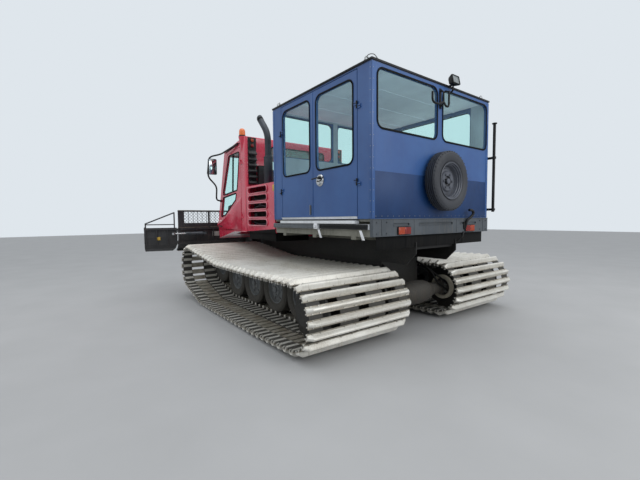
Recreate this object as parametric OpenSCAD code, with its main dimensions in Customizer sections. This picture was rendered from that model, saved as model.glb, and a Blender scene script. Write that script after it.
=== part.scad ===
// Snowcat groomer on full-width tracks, with a driver's cab in front, a passenger cabin
// on its load bed, and a raised all-way blade.
// Millimetres. +X is forward, +Y is the left side, +Z is up, and the ground is z = 0.
// at(c) turns a distance ahead of the passenger cabin's rear wall into an x.

/* [Passenger cabin] */
// Length of the cabin
cabin_l = 2200; // [2100:10:2230]
// Width of the cabin
cabin_w = 2482; // [2400:2:2500]
// Height of the cabin from its floor's underside to its roof
cabin_h = 1760; // [1700:10:1900]
// Height of the cabin's underside above the ground
cabin_z = 1530; // [1500:10:1560]
// Thickness of the walls and doors
wall_t = 40; // [30:1:50]
// Thickness of the roof and floor
roof_t = 30; // [25:1:34]
// Front edge of the door opening, ahead of the rear wall
door_front = 1950; // [1900:5:1980]
// Seam between the two door leaves
door_seam = 1135; // [1000:5:1200]
// Rear edge of the door opening
door_rear = 230; // [200:5:260]
// Height of the door sill above the cabin's underside
sill_h = 22; // [15:1:40]
// Height of the header and the roof's edge above the door opening
header_h = 40; // [38:1:60]
// Clear gap round a door leaf
leaf_gap = 10; // [8:1:12]
// Radius of the window corners
win_r = 90; // [40:5:110]
// Thickness of the window glass
glass_t = 6; // [4:1:8]

/* [Driver's cab] */
// Rear face of the cab, ahead of the passenger cabin's rear wall
cab_rear = 3350; // [3330:5:3400]
// Width of the cab
cab_w = 2400; // [2360:2:2420]
// Thickness of the cab's walls
cab_t = 40; // [30:1:45]
// Height of the cab's underside
cab_z = 1300; // [1280:5:1320]
// Height of the roof's rear edge
cab_top = 3110; // [3050:5:3150]

/* [Running gear] */
// Width over both tracks
over_tracks = 4200; // [4150:10:4300]
// Width of one track
track_w = 1575; // [1500:5:1585]
// Radius of a road tyre
tyre_r = 360; // [340:1:370]
// Width of a road tyre
tyre_w = 220; // [180:5:240]
// Distance between two road wheels
wheel_pitch = 730; // [722:1:745]
// First road wheel, ahead of the cabin's rear wall
wheel_1 = 1225; // [1190:5:1230]
// Sprocket axis, ahead of the cabin's rear wall
sprocket_x = 410; // [400:5:440]
// Sprocket axis above the ground
sprocket_z = 460; // [450:1:480]
// Radius of the sprocket's drum
sprocket_r = 353; // [340:1:355]
// Idler wheel axis, ahead of the cabin's rear wall
idler_x = 4150; // [4140:5:4180]
// Idler wheel axis above the ground
idler_z = 620; // [600:5:640]
// Thickness of the belts
belt_t = 12; // [8:1:16]
// Height of a track bar
bar_h = 65; // [50:1:70]
// Number of bars on one track
bars = 72; // [56:1:76]

/* [Chassis] */
// Half width of the tub between the tracks
tub_half = 400; // [380:5:410]
// Underside of the tub
tub_z = 330; // [300:5:360]
// Top of the frame rails, which carry the bed
rail_top = 1320; // [1310:5:1325]

/* [Blade] */
// Lift frame's pivot, ahead of the cabin's rear wall
lift_x = 4000; // [3980:5:4020]
// Lift frame's pivot above the ground
lift_z = 400; // [395:1:410]
// Kingpin of the blade, ahead of the cabin's rear wall
king_x = 5060; // [5050:5:5090]
// Middle of the kingpin above the ground
king_z = 1040; // [1030:5:1050]
// Back face of the blade's board, ahead of the cabin's rear wall
board_x = 5290; // [5288:1:5320]
// Cutting edge of the blade, ahead of the board's back face
edge_out = 190; // [150:5:220]
// Half width of the blade's centre
blade_half = 1950; // [1900:5:1980]
// Length of one wing
wing_l = 680; // [600:5:700]
// Forward fold of the wings as parked, in degrees
wing_fold = 15; // [10:1:18]
// Lower edge of the raised blade
blade_z = 850; // [830:5:870]
// Height of the blade's board
blade_h = 520; // [480:5:540]
// Height of the mesh guard over the board
guard_h = 380; // [300:5:400]

/* [Spare wheel] */
// Outer diameter of the spare tyre
spare_d = 770; // [700:5:800]
// Section width of the spare tyre
spare_w = 170; // [150:5:180]

/* [Hidden] */
$fn = 48;

// Clearance between pieces that lie on each other
seat_gap = 0.3;
// Running clearance of a pin in its bore
pin_gap = 0.05;
spare_gap = 20;
spare_out = spare_gap + spare_w;
// Hinge line of a wing
wing_hinge = [board_x - 28, blade_half + 5];
// Foremost point of the folded wing, which is its outer lower corner
reach = wing_hinge.x + wing_l * sin(wing_fold) + (board_x + edge_out - wing_hinge.x) * cos(wing_fold);
// The origin lies midway between the spare tyre's face and the wings' foremost corners
rear_x = -(reach - spare_out) / 2;
cabin_top = cabin_z + cabin_h;
door_h = cabin_h - sill_h - header_h;
cabin_half = cabin_w / 2;
cab_half = cab_w / 2;
track_out = over_tracks / 2;
track_in = track_out - track_w;
track_mid = track_out - track_w / 2;
wheel_z = tyre_r + belt_t + bar_h;
wheel_4 = wheel_1 + 3 * wheel_pitch;

red = [0.72, 0.10, 0.16];
blue = [0.13, 0.20, 0.42];
dark = [0.10, 0.10, 0.11];
grey = [0.28, 0.29, 0.31];
steel = [0.75, 0.76, 0.78];
cream = [0.80, 0.79, 0.70];
glass_tint = [0.6, 0.8, 0.82, 0.4];

function at(c) = rear_x + c;
function unit(v) = v / norm(v);
function arc(c, r, a0, a1, n) = [for (i = [0:n]) let (a = a0 + (a1 - a0) * i / n) c + r * [cos(a), sin(a)]];

// Rounds the corner b, which lies between a and c, with radius r
function corner(a, b, c, r, n) =
    let (u = unit(a - b), w = unit(c - b), half = acos(u * w) / 2, m = b + unit(u + w) * r / sin(half))
    let (p = b + u * r / tan(half), q = b + w * r / tan(half))
    let (a0 = atan2(p.y - m.y, p.x - m.x), swing = atan2(q.y - m.y, q.x - m.x) - a0)
    let (turn = swing > 180 ? swing - 360 : swing < -180 ? swing + 360 : swing)
    arc(m, r, a0, a0 + turn, n);
function rounded(pts, r, n = 4) =
    let (last = len(pts) - 1)
    [for (i = [0:last]) each corner(pts[(i + last) % (last + 1)], pts[i], pts[(i + 1) % (last + 1)], r, n)];
function rectangle(x0, x1, z0, z1) = [[x0, z0], [x1, z0], [x1, z1], [x0, z1]];

// Extrudes an outline drawn in x and z from y0 to y1
module along_y(y0, y1) {
    translate([0, y1, 0]) rotate([90, 0, 0]) linear_extrude(y1 - y0) children();
}
// Extrudes an outline drawn in y and z from x0 to x1
module along_x(x0, x1) {
    translate([x0, 0, 0]) rotate([90, 0, 90]) linear_extrude(x1 - x0) children();
}
module box(x0, x1, y0, y1, z0, z1) {
    translate([x0, y0, z0]) cube([x1 - x0, y1 - y0, z1 - z0]);
}
module both_sides() {
    children();
    mirror([0, 1, 0]) children();
}
// A cylinder from a point, along the direction to another point
module bar_between(a, b, r) {
    d = b - a;
    translate(a) rotate([0, acos(d.z / norm(d)), atan2(d.y, d.x)]) cylinder(r = r, h = norm(d));
}
// The frame that is left when an outline is cut out of a panel
module framed(outer, holes) {
    difference() {
        polygon(outer);
        for (hole = holes) polygon(hole);
    }
}

// Track path

// Angle of the radius at which a line from p touches a circle
function touch(p, c, r, side) =
    let (d = p - c)
    atan2(d.y, d.x) + side * acos(r / norm(d));
sprocket_c = [at(sprocket_x), sprocket_z];
idler_c = [at(idler_x), idler_z];
// An arc whose chords touch the circle from outside
function arc_over(c, r, a0, a1, n) = arc(c, r / cos((a1 - a0) / n / 2), a0, a1, n);
// Rise of the loop from the ground to the idler, and to the sprocket
front_rise = atan2(idler_z - wheel_z, idler_x - wheel_4);
rear_rise = atan2(sprocket_z - wheel_z, wheel_1 - sprocket_x)
    + asin((tyre_r - sprocket_r) / norm([wheel_1 - sprocket_x, sprocket_z - wheel_z]));
// The loop's side view, grown outwards by t: round the idler, back along the top of the
// road wheels, round the sprocket and forward along the ground
function track_loop(t) =
    let (low_4 = [at(wheel_4) + (tyre_r + t) * tan(front_rise / 2), wheel_z - tyre_r - t])
    let (low_1 = [at(wheel_1) - (tyre_r + t) * tan(rear_rise / 2), wheel_z - tyre_r - t])
    let (top_3 = [at(wheel_1 + 2 * wheel_pitch), wheel_z + tyre_r + t])
    let (top_1 = [at(wheel_1), wheel_z + tyre_r + t])
    let (i0 = touch(low_4, idler_c, tyre_r + t, 1), i1 = touch(top_3, idler_c, tyre_r + t, -1))
    let (s0 = touch(top_1, sprocket_c, sprocket_r + t, 1), s1 = touch(low_1, sprocket_c, sprocket_r + t, -1))
    concat(
        arc_over(idler_c, tyre_r + t, i0 > 180 ? i0 - 360 : i0, i1 < 0 ? i1 + 360 : i1, 12), [top_3, top_1],
        arc_over(sprocket_c, sprocket_r + t, s0, s1 < s0 ? s1 + 360 : s1, 12), [low_1, low_4]
    );
function run_lengths(pts, i = 0, sum = 0) =
    i > len(pts) ? [] : concat([sum], run_lengths(pts, i + 1, sum + norm(pts[(i + 1) % len(pts)] - pts[i % len(pts)])));
// The point at a distance s along the loop
function on_loop(pts, runs, s) =
    let (r = (s + runs[len(pts)]) % runs[len(pts)])
    let (i = [for (j = [0:len(pts) - 1]) if (runs[j] <= r && r < runs[j + 1]) j][0])
    pts[i] + unit(pts[(i + 1) % len(pts)] - pts[i]) * (r - runs[i]);
// Belts across the track: distance of each belt's middle from the track's middle, and its width
belts = [[-680, 195], [-215, 270], [215, 270]];
bar_belt = [680, 195];
bar_foot = 92;
bar_tip = 30;
bar_sink = 2;

module belt(place, t) {
    along_y(track_mid + place[0] - place[1] / 2, track_mid + place[0] + place[1] / 2)
        difference() {
            polygon(track_loop(t));
            polygon(track_loop(seat_gap));
        }
}
module track() {
    outer = track_loop(belt_t);
    runs = run_lengths(outer);
    pitch = runs[len(outer)] / bars;
    for (place = belts) belt(place, belt_t);
    // The outermost belt is moulded to the bars
    union() {
        belt(bar_belt, belt_t + bar_sink);
        for (k = [0:bars - 1]) {
            s = (k + 0.5) * pitch;
            q = on_loop(outer, runs, s);
            d = unit(on_loop(outer, runs, s + 1) - on_loop(outer, runs, s - 1));
            back = on_loop(outer, runs, s - bar_foot / 2);
            fore = on_loop(outer, runs, s + bar_foot / 2);
            chord = unit(fore - back);
            // Over a dip in the loop the bar lies on its two edges, and elsewhere flat on its run
            dips = ((back + fore) / 2 - q) * [d.y, -d.x] > 0;
            p = dips ? (back + fore) / 2 : q;
            e = dips ? chord : d;
            translate([p.x, 0, p.y]) rotate([0, -atan2(e.y, e.x), 0]) track_bar();
        }
    }
}
// One bar, with its foot at z = 0 and its edge pointing to -z
module track_bar() {
    along_y(track_in, track_out)
        polygon([[-bar_foot / 2, -seat_gap], [-bar_tip / 2, -bar_h], [bar_tip / 2, -bar_h], [bar_foot / 2, -seat_gap]]);
}
module track_left() { color(cream) track(); }
module track_right() { color(cream) mirror([0, 1, 0]) track(); }

// Wheels

wheel_places = concat([for (i = [0:3]) [at(wheel_1 + i * wheel_pitch), wheel_z]], [idler_c]);
rim_r = 215;
hub_r = 60;
axle_r = 48;
module tyre_shape(r, w, bore) {
    rotate([90, 0, 0]) rotate_extrude()
        polygon([[bore, -w * 0.36], [r * 0.86, -w / 2], [r, -w * 0.36], [r, w * 0.36], [r * 0.86, w / 2],
                 [bore, w * 0.36]]);
}
module road_tyres() {
    color(dark) both_sides()
        for (p = wheel_places) translate([p.x, track_mid, p.y]) tyre_shape(tyre_r, tyre_w, rim_r + seat_gap);
}
module wheel_discs() {
    color(grey) both_sides()
        for (p = wheel_places)
            translate([p.x, track_mid, p.y]) rotate([90, 0, 0]) difference() {
                union() {
                    rotate_extrude() polygon([[rim_r, -75], [rim_r, 75], [rim_r - 12, 75], [rim_r - 30, -30],
                                              [110, -45], [90, -60], [0, -60], [0, -75], [120, -75]]);
                    translate([0, 0, -75]) cylinder(r = hub_r + 15, h = 100);
                }
                translate([0, 0, -15]) cylinder(r = axle_r + seat_gap, h = 60);
            }
}
// Half length of the sprocket's shaft
shaft_reach = 580;
shaft_r = 150;
function gear(teeth, root_r, tip_r) = [
    for (i = [0:teeth - 1], k = [-0.34, -0.16, 0.16, 0.34])
        let (a = (i + k) * 360 / teeth, r = abs(k) > 0.2 ? root_r : tip_r)
        r * [cos(a), sin(a)]
];
module sprockets() {
    teeth = 16;
    tooth_h = 26;
    disc_t = 36;
    // Toothed discs run in the gaps between the belts
    disc_place = (bar_belt[0] - bar_belt[1] / 2 + belts[2][0] + belts[2][1] / 2) / 2;
    color(cream) both_sides()
        translate([sprocket_c.x, track_mid, sprocket_c.y]) rotate([90, 0, 0]) {
            cylinder(r = shaft_r, h = 2 * shaft_reach, center = true);
            cylinder(r = 225, h = 360, center = true);
            for (side = [-1, 1]) {
                translate([0, 0, side * 190]) rotate_extrude()
                    polygon([[230, -60], [sprocket_r, -60], [sprocket_r, 60], [230, 60], [210, 20], [210, -20]]);
                translate([0, 0, side * disc_place - disc_t / 2]) linear_extrude(disc_t)
                    polygon(gear(teeth, sprocket_r - tooth_h, sprocket_r - 4));
            }
            // Collar round the end of the axle housing
            rotate_extrude() polygon([[128, shaft_reach - 20], [185, shaft_reach - 20], [185, shaft_reach + 32],
                                      [172, shaft_reach + 40], [142, shaft_reach + 40], [128, shaft_reach + 20]]);
        }
}
module rear_axle() {
    // The housing ends on the shaft of each sprocket, inside its collar
    axle_end = track_mid - shaft_reach - seat_gap;
    color(dark) {
        difference() {
            rotate([90, 0, 0]) translate([sprocket_c.x, sprocket_c.y, 0]) rotate_extrude()
                polygon([[0, -axle_end], [112, -axle_end], [112, -axle_end + 70], [84, -axle_end + 90], [96, -400],
                         [160, -220], [170, -80], [170, 80], [160, 220], [96, 400], [84, axle_end - 90],
                         [112, axle_end - 70], [112, axle_end], [0, axle_end]]);
        }
        both_sides() box(sprocket_c.x - 60, at(tub_rear) - seat_gap, 200, 260, sprocket_z - 110, sprocket_z + 110);
    }
}
module wheel_arms() {
    arm_lead = 230;
    arm_rise = 120;
    color(dark) both_sides() {
        // The idler's axle is flanged to the tub
        translate([idler_c.x, 0, idler_c.y]) {
            bar_between([0, tub_half + seat_gap, 0], [0, track_mid, 0], axle_r);
            bar_between([0, tub_half + seat_gap, 0], [0, tub_half + 12, 0], 80);
        }
        for (i = [0:3]) translate([wheel_places[i].x, 0, wheel_places[i].y]) {
            bar_between([0, tub_half + 60, 0], [0, track_mid, 0], axle_r);
            along_y(tub_half + 30, tub_half + 90)
                polygon(rounded([[-75, -70], [75, -75], [arm_lead + 60, arm_rise - 20], [arm_lead + 55, arm_rise + 70],
                                 [arm_lead - 50, arm_rise + 60]], 28, 3));
            bar_between([arm_lead, tub_half + seat_gap, arm_rise + 20], [arm_lead, tub_half + 60, arm_rise + 20], 42);
        }
    }
}

// Chassis

tub_rear = 640;
tub_front = 4260;
tub_top = 930;
lift_pin = 32;
module chassis_tub() {
    outline = [[at(tub_rear), 430], [at(tub_rear) + 220, tub_z], [at(tub_front) - 180, tub_z],
               [at(tub_front), 480], [at(tub_front), 700], [at(tub_front) - 360, tub_top], [at(tub_rear), tub_top]];
    core = [[at(tub_rear) + 16, 440], [at(tub_rear) + 226, tub_z + 16], [at(tub_front) - 186, tub_z + 16],
            [at(tub_front) - 16, 490], [at(tub_front) - 16, 700], [at(tub_front) - 360, tub_top + 10],
            [at(tub_rear) + 16, tub_top + 10]];
    color(dark) {
        difference() {
            along_y(-tub_half, tub_half) polygon(outline);
            along_y(-tub_half + 12, tub_half - 12) polygon(core);
        }
        both_sides() translate([at(lift_x), tub_half - 1, lift_z]) rotate([-90, 0, 0]) cylinder(r = lift_pin, h = 84);
    }
}
rail_y = 430;
cab_floor = 120;
rail_t = 20;
module frame_rails() {
    plate = [[at(10), rail_top - 90], [at(10), tub_top + 150], [at(160), tub_top + seat_gap], [at(tub_front), tub_top + seat_gap],
             [at(tub_front), 1120], [at(4100), 1230], [at(3300), rail_top - 90]];
    color(grey) {
        both_sides() along_y(rail_y, rail_y + rail_t) polygon(plate);
        for (c = [60, 1000, 2150, 3300]) box(at(c), at(c) + 60, -rail_y, rail_y, 1130, 1190);
        both_sides() box(at(tub_rear), at(tub_front), tub_half - 20, rail_y, tub_top + seat_gap, tub_top + 20);
        // Rubber mounts under the driver's cab
        both_sides() for (c = [3430, 4190]) {
            box(at(c), at(c) + 70, rail_y, rail_y + 90, 1090, cab_z + 70);
            translate([at(c) + 35, rail_y + 50, cab_z]) cylinder(r = 32, h = cab_floor - seat_gap);
        }
        // Cross member that carries the lift cylinders
        box(at(3640), at(3740), -rail_y, rail_y, 1040, 1160);
        both_sides() {
            for (y = [lift_cyl_y - ear_t - 26, lift_cyl_y + 26])
                along_y(y, y + ear_t) polygon(rounded([[at(3700), 1045], [at(lift_a.x) + 36, lift_a.y - 36],
                                                       [at(lift_a.x) + 36, lift_a.y + 36], [at(3700), 1155]], 20, 3));
            translate([at(lift_a.x), lift_cyl_y - 26 - ear_t / 2, lift_a.y]) rotate([-90, 0, 0]) cylinder(r = 25, h = 52 + ear_t);
        }
    }
}
module engine_block() {
    color(grey) {
        box(at(2500), at(3200), -300, 300, 1000, 1850);
        both_sides() box(at(2600), at(2700), 300, rail_y, 1010, 1050);
        both_sides() box(at(3000), at(3100), 300, rail_y, 1010, 1050);
    }
}

// Load bed and what hangs on it

bed_t = 30;
module load_bed() {
    beam_half = cabin_half - 30;
    color(grey) {
        box(at(30), at(cabin_l), -beam_half, beam_half, cabin_z - bed_t - seat_gap, cabin_z - seat_gap);
        both_sides() box(at(30), at(cabin_l), rail_y, rail_y + 60, rail_top - 90 + seat_gap, cabin_z - bed_t - seat_gap);
        for (c = [300, 1100, 1900])
            box(at(c), at(c) + 80, -beam_half, beam_half, rail_top - 40, cabin_z - bed_t - seat_gap);
        both_sides() box(at(30), at(cabin_l), beam_half - 60, beam_half, rail_top, cabin_z - bed_t - seat_gap - 90);
    }
}
module rear_bumper() {
    color(grey) difference() {
        box(at(-20), at(30) - seat_gap, -cabin_half, cabin_half, cabin_z - 206, cabin_z - seat_gap);
        for (slot = [[-900, -500], [-300, 420], [620, 900]])
            box(at(-21), at(-8), slot[0], slot[1], cabin_z - 85, cabin_z - 55);
    }
}
module tail_lamps() {
    color("red") both_sides() {
        box(at(-48), at(-20) - seat_gap, 610, 722, cabin_z - 190, cabin_z - 100);
        box(at(-48), at(-20) - seat_gap, 724, 835, cabin_z - 190, cabin_z - 100);
        for (z = lamp_zs) translate([at(cab_rear) - plate_t - seat_gap - 22, (column_y[0] + column_y[1]) / 2, z])
            rotate([0, 90, 0]) cylinder(r = lamp_r, h = 22);
    }
}
module side_steps() {
    color(steel) both_sides() {
        box(at(240), at(1950), cabin_half - 30 + seat_gap, cabin_half + 40, cabin_z - 55, cabin_z - 20);
        box(at(1080), at(2180), cabin_half - 30 + seat_gap, cabin_half + 30, cabin_z - 125, cabin_z - 62);
        box(at(40), at(960), cabin_half - 30 + seat_gap, cabin_half + 20, cabin_z - 125, cabin_z - 62);
    }
}

// Engine compartment between the two cabs

bay_rear = cabin_l + 40;
bay_top = 2120;
lid_t = 30;
panel_t = 30;
floor_z = rail_top - 90 + seat_gap;
module engine_panels() {
    slot_h = 94;
    slots = [for (i = [0:4]) 1436 + i * 145];
    color(red) {
        both_sides() along_y(cab_half - 30, cab_half)
            difference() {
                polygon(rounded([[at(bay_rear), cab_z], [at(cab_rear) - 10, cab_z], [at(cab_rear) - 10, bay_top],
                                 [at(bay_rear), bay_top]], 20, 3));
                for (z = slots) polygon(rounded(rectangle(at(2520), at(cab_rear - 110), z, z + slot_h), slot_h / 2 - 1, 4));
            }
        box(at(bay_rear), at(cab_rear) - 10, -cab_half, cab_half, bay_top + seat_gap, bay_top + lid_t);
    }
    // Folded floor plates from the frame rails to the side panels
    color(dark) both_sides() {
        box(at(bay_rear) + 40, at(cab_rear) - 60, rail_y, cab_half - panel_t - seat_gap, floor_z, floor_z + lid_t);
        box(at(bay_rear) + 40, at(cab_rear) - 60, cab_half - 2 * panel_t, cab_half - panel_t - seat_gap, floor_z, cab_z + 40);
    }
}
exhaust_y = 960;
exhaust_c = 2900;
module exhaust() {
    pipe_r = 58;
    sleeve_r = 80;
    straight = 880;
    elbow = 110;
    tail = 440;
    lean = 42;
    // Two mitred joints, each over a welded ball, turn the pipe forward
    joints = [[0, 0, straight], [elbow * sin(lean / 2), 0, straight + elbow * cos(lean / 2)]];
    color(dark) translate([at(exhaust_c), exhaust_y, bay_top + lid_t + seat_gap]) {
        cylinder(r = pipe_r, h = straight);
        cylinder(r = sleeve_r, h = straight * 0.6);
        bar_between(joints[0], joints[1], pipe_r);
        for (p = joints) translate(p) sphere(r = pipe_r + 2);
        translate(joints[1]) rotate([0, lean, 0]) difference() {
            cylinder(r = pipe_r, h = tail);
            translate([0, 0, tail / 3]) cylinder(r = pipe_r - 5, h = tail);
        }
    }
}

// Driver's cab

roof_front = [at(4380), 2943];
screen_low = [at(4824), 1456];
chin = [at(4762), 1131];
door_c0 = 3560;
cab_side = [[at(cab_rear), cab_z], [at(cab_rear), cab_top], roof_front, screen_low, chin, [at(3950), cab_z]];
cab_inside = [[at(cab_rear) + cab_t, cab_z + 180], [at(cab_rear) + cab_t, cab_top - 50], roof_front + [-20, -55],
              screen_low + [-60, 20], screen_low + [-90, -60], [at(4500), cab_z + 180]];
cab_door_outline = [[at(door_c0), cab_z + 20], [at(door_c0), 2945], roof_front + [-150, -60],
                    screen_low + [-130, 60], screen_low + [-120, -120], [at(4050), cab_z + 20]];
// Moves each corner of an outline towards its middle
function inset(pts, d) =
    let (last = len(pts) - 1)
    [for (i = [0:last])
        let (a = pts[(i + last) % (last + 1)], b = pts[i], c = pts[(i + 1) % (last + 1)])
        let (u = unit(a - b), w = unit(c - b), s = sin(acos(u * w) / 2))
        b + unit(u + w) * d / s];
door_cut = rounded(cab_door_outline, 60, 4);
door_leaf = rounded(inset(cab_door_outline, leaf_gap), 50, 4);
door_upper = rounded([[at(3760), 2120], [at(3620), 2845], roof_front + [-230, -110], [at(4510), 2060]], 45, 4);
door_lower = rounded([[at(3850), 1930], [at(3800), 2060], [at(4500), 2000], [at(4630), 1600], [at(4400), 1640]], 25, 4);
beacon_c = 3500;
beacon_y = cab_half - 15;
beacon_cone = 290;
column_r = 50;
module cab_shell() {
    color(red) difference() {
        along_y(-cab_half, cab_half) polygon(rounded(cab_side, 30, 3));
        along_y(-cab_half + cab_t, cab_half - cab_t) polygon(cab_inside);
        along_y(-cab_half - 1, -cab_half + cab_t + 1) polygon(door_cut);
        along_y(cab_half - cab_t - 1, cab_half + 1) polygon(door_cut);
        windscreen_cut(60, 0);
        // Rounded columns at the rear corners
        both_sides() translate([at(cab_rear), cab_half, cab_z - 1]) difference() {
            translate([-1, -column_r, 0]) cube([column_r + 1, column_r + 1, cab_top]);
            translate([column_r, -column_r, -1]) cylinder(r = column_r, h = cab_top + 2);
        }
        along_x(at(cab_rear) - 1, at(cab_rear) + cab_t + 1) polygon(rounded(rectangle(-650, 650, 2250, 2950), 60, 4));
        box(at(cab_rear) - 1, at(4300), -cab_half + 200, cab_half - 200, cab_z - 300, cab_z + cab_floor);
    }
    color(red) {
        both_sides() hinge_posts(at(door_c0), cab_half, cab_hinges, -1);
        // Conical stand of the beacon, moulded on the roof's corner
        translate([at(beacon_c), beacon_y, cab_top - beacon_cone]) cylinder(r1 = 18, r2 = 74, h = beacon_cone);
    }
}
// A slanted block in the windscreen's opening, from depth a to depth b behind the surface
module windscreen_cut(deep, shrink) {
    lean = atan2(screen_low.x - roof_front.x, roof_front.y - screen_low.y);
    h = norm(roof_front - screen_low);
    translate([screen_low.x, 0, screen_low.y]) rotate([0, -lean, 0])
        translate([-deep, 0, 0]) along_x(0, deep + 1)
            polygon(rounded(rectangle(-cab_half + 70 + shrink, cab_half - 70 - shrink, 60 + shrink, h - 70 - shrink), 70 - shrink, 4));
}
module cab_glass() {
    lean = atan2(screen_low.x - roof_front.x, roof_front.y - screen_low.y);
    h = norm(roof_front - screen_low);
    color(glass_tint) {
        translate([screen_low.x, 0, screen_low.y]) rotate([0, -lean, 0])
            translate([-14, 0, 0]) along_x(0, glass_t)
                polygon(rounded(rectangle(-cab_half + 70.3, cab_half - 70.3, 60.3, h - 70.3), 69.7, 4));
        along_x(at(cab_rear) + 10, at(cab_rear) + 10 + glass_t)
            polygon(rounded(rectangle(-650 + seat_gap, 650 - seat_gap, 2250 + seat_gap, 2950 - seat_gap), 59.7, 4));
    }
}
module seat(x, y, z, w) {
    translate([x, y, z]) {
        box(0, 480, -w / 2, w / 2, 330, 430);
        along_y(-w / 2, w / 2) polygon([[-20, 430], [90, 430], [20, 1050], [-70, 1050]]);
        box(120, 360, -w / 2 + 60, w / 2 - 60, seat_gap, 330);
    }
}
module seats() {
    color(dark) {
        for (y = [-550, 550]) seat(at(3520), y, cab_z + 180, 500);
        seat(at(200), -300, cabin_z + roof_t, 1600);
        translate([at(1400), -cabin_half + 160, 0]) rotate([0, 0, 90]) seat(0, 0, cabin_z + roof_t, 1300);
    }
}
module cab_console() {
    color(dark) {
        box(at(4080), at(4400), -200, 200, cab_z + 180 + seat_gap, cab_z + 700);
        translate([at(4330), 550, cab_z + 760]) rotate([0, -35, 0]) {
            rotate_extrude() translate([170, 0]) circle(r = 14, $fn = 16);
            for (turn = [0, 120, 240]) rotate([0, 0, turn]) box(0, 166, -14, 14, -7, 7);
            translate([0, 0, -20]) cylinder(r = 38, h = 34);
        }
        bar_between([at(4330), 550, cab_z + 760], [at(4495), 550, cab_z + 520], 22);
        // Dashboard on its pedestal
        along_y(-1050, 1050) polygon(rounded([[at(4440), cab_z + 470], [at(4450), cab_z + 560], [at(4610), cab_z + 530],
                                              [at(4650), cab_z + 400], [at(4560), cab_z + 400]], 18, 3));
        box(at(4430), at(4500), -260, 260, cab_z + 180 + seat_gap, cab_z + 500);
    }
}
// Column of lamps over louvres: its width across, its foot and the height where the lamps begin
column_y = [980, 1148];
column_z = [2200, 2875];
lamp_zs = [3030, 2930];
lamp_r = 38;
plate_t = 14;
module cab_louvres() {
    fins = 6;
    fin_step = (column_z[1] - column_z[0] - 20) / fins;
    color(dark) {
        both_sides() {
            box(at(cab_rear) - plate_t, at(cab_rear) - seat_gap, column_y[0], column_y[1], column_z[1], 3085);
            box(at(cab_rear) - plate_t + 4, at(cab_rear) - seat_gap, column_y[0], column_y[1], column_z[0], column_z[1] + 1);
            for (i = [0:fins - 1])
                translate([at(cab_rear) - plate_t + 4, 0, column_z[0] + 40 + i * fin_step])
                    along_y(column_y[0] + 5, column_y[1] - 5) polygon([[1, 0], [-48, -30], [-50, -10], [1, 56]]);
        }
        // Air filter housing beside the stack
        box(at(cab_rear) - 80, at(cab_rear) - seat_gap, 800, 965, bay_top + lid_t + seat_gap, 2560);
    }
}
module beacon() {
    translate([at(beacon_c), beacon_y, cab_top + seat_gap]) {
        color(dark) cylinder(r = 66, h = 26);
        color("orange") translate([0, 0, 26 + seat_gap]) rotate_extrude()
            polygon([[0, 0], [60, 0], [58, 80], [50, 108], [30, 126], [0, 132]]);
    }
}
// The arm's bends, from the roof's corner round the door to the windscreen pillar
mirror_arm = [[3690, 20, 3000], [4310, 100, 2895], [4450, 310, 2840], [4450, 340, 2430], [4500, 135, 2240],
              [4595, 120, 1960], [4610, 20, 1945]];
module mirrors() {
    arm_r = 13;
    pts = [for (m = mirror_arm) [at(m[0]), cab_half + m[1], m[2]]];
    last = len(pts) - 1;
    color(dark) both_sides() {
        for (i = [0:last - 1]) bar_between(pts[i], pts[i + 1], arm_r);
        for (i = [1:last - 1]) translate(pts[i]) sphere(r = arm_r + 1);
        for (p = [pts[0], pts[last]]) translate(p) box(-24, 24, seat_gap - 20, 4, -24, 24);
        translate([pts[3].x - 20, pts[3].y - 20, (pts[2].z + pts[3].z) / 2]) box(-45, 10, -150, 22, -160, 160);
    }
}

// Passenger cabin

leaf_front_x = [door_seam + leaf_gap / 2, door_front - leaf_gap];
leaf_rear_x = [door_rear + leaf_gap, door_seam - leaf_gap / 2];
leaf_z = [cabin_z + sill_h + leaf_gap, cabin_z + sill_h + door_h - leaf_gap];
win_z = [cabin_z + 0.37 * cabin_h, cabin_top - 130];
rear_win_z = [cabin_z + 0.58 * cabin_h, cabin_top - 80];
rear_wins = [[-1190, -72], [48, 1157]];
function window(x, z) = rounded(rectangle(x[0], x[1], z[0], z[1]), win_r, 4);
function pane(x, z) =
    rounded(rectangle(x[0] + seat_gap, x[1] - seat_gap, z[0] + seat_gap, z[1] - seat_gap), win_r - seat_gap, 4);
front_win_x = [1189, 1896];
back_win_x = [308, 1040];
// The right wall has one long window
right_win_x = [270, 1896];
right_win_z = [win_z[0], cabin_top - 95];
module cabin_walls() {
    z1 = cabin_top - roof_t - seat_gap;
    color(blue) difference() {
        box(at(0), at(cabin_l), -cabin_half, cabin_half, cabin_z, z1);
        box(at(wall_t), at(cabin_l - wall_t), -cabin_half + wall_t, cabin_half - wall_t, cabin_z + roof_t, z1 + 1);
        along_y(cabin_half - wall_t - 1, cabin_half + 1)
            polygon(rectangle(at(door_rear), at(door_front), cabin_z + sill_h, cabin_z + sill_h + door_h));
        along_y(-cabin_half - 1, -cabin_half + wall_t + 1)
            polygon(window([at(right_win_x[0]), at(right_win_x[1])], right_win_z));
        for (x = [-1, cabin_l - wall_t - 1])
            along_x(at(x), at(x) + wall_t + 2) for (w = rear_wins) polygon(window(w, rear_win_z));
    }
    color(blue) {
        hinge_posts(at(door_front), cabin_half, cabin_hinges, 1);
        hinge_posts(at(door_rear), cabin_half, cabin_hinges, -1);
    }
}
module cabin_roof() {
    color(blue) {
        box(at(0), at(cabin_l), -cabin_half, cabin_half, cabin_top - roof_t, cabin_top - 12);
        box(at(-8), at(cabin_l + 8), -cabin_half - 8, cabin_half + 8, cabin_top - 12, cabin_top);
    }
}
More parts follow.
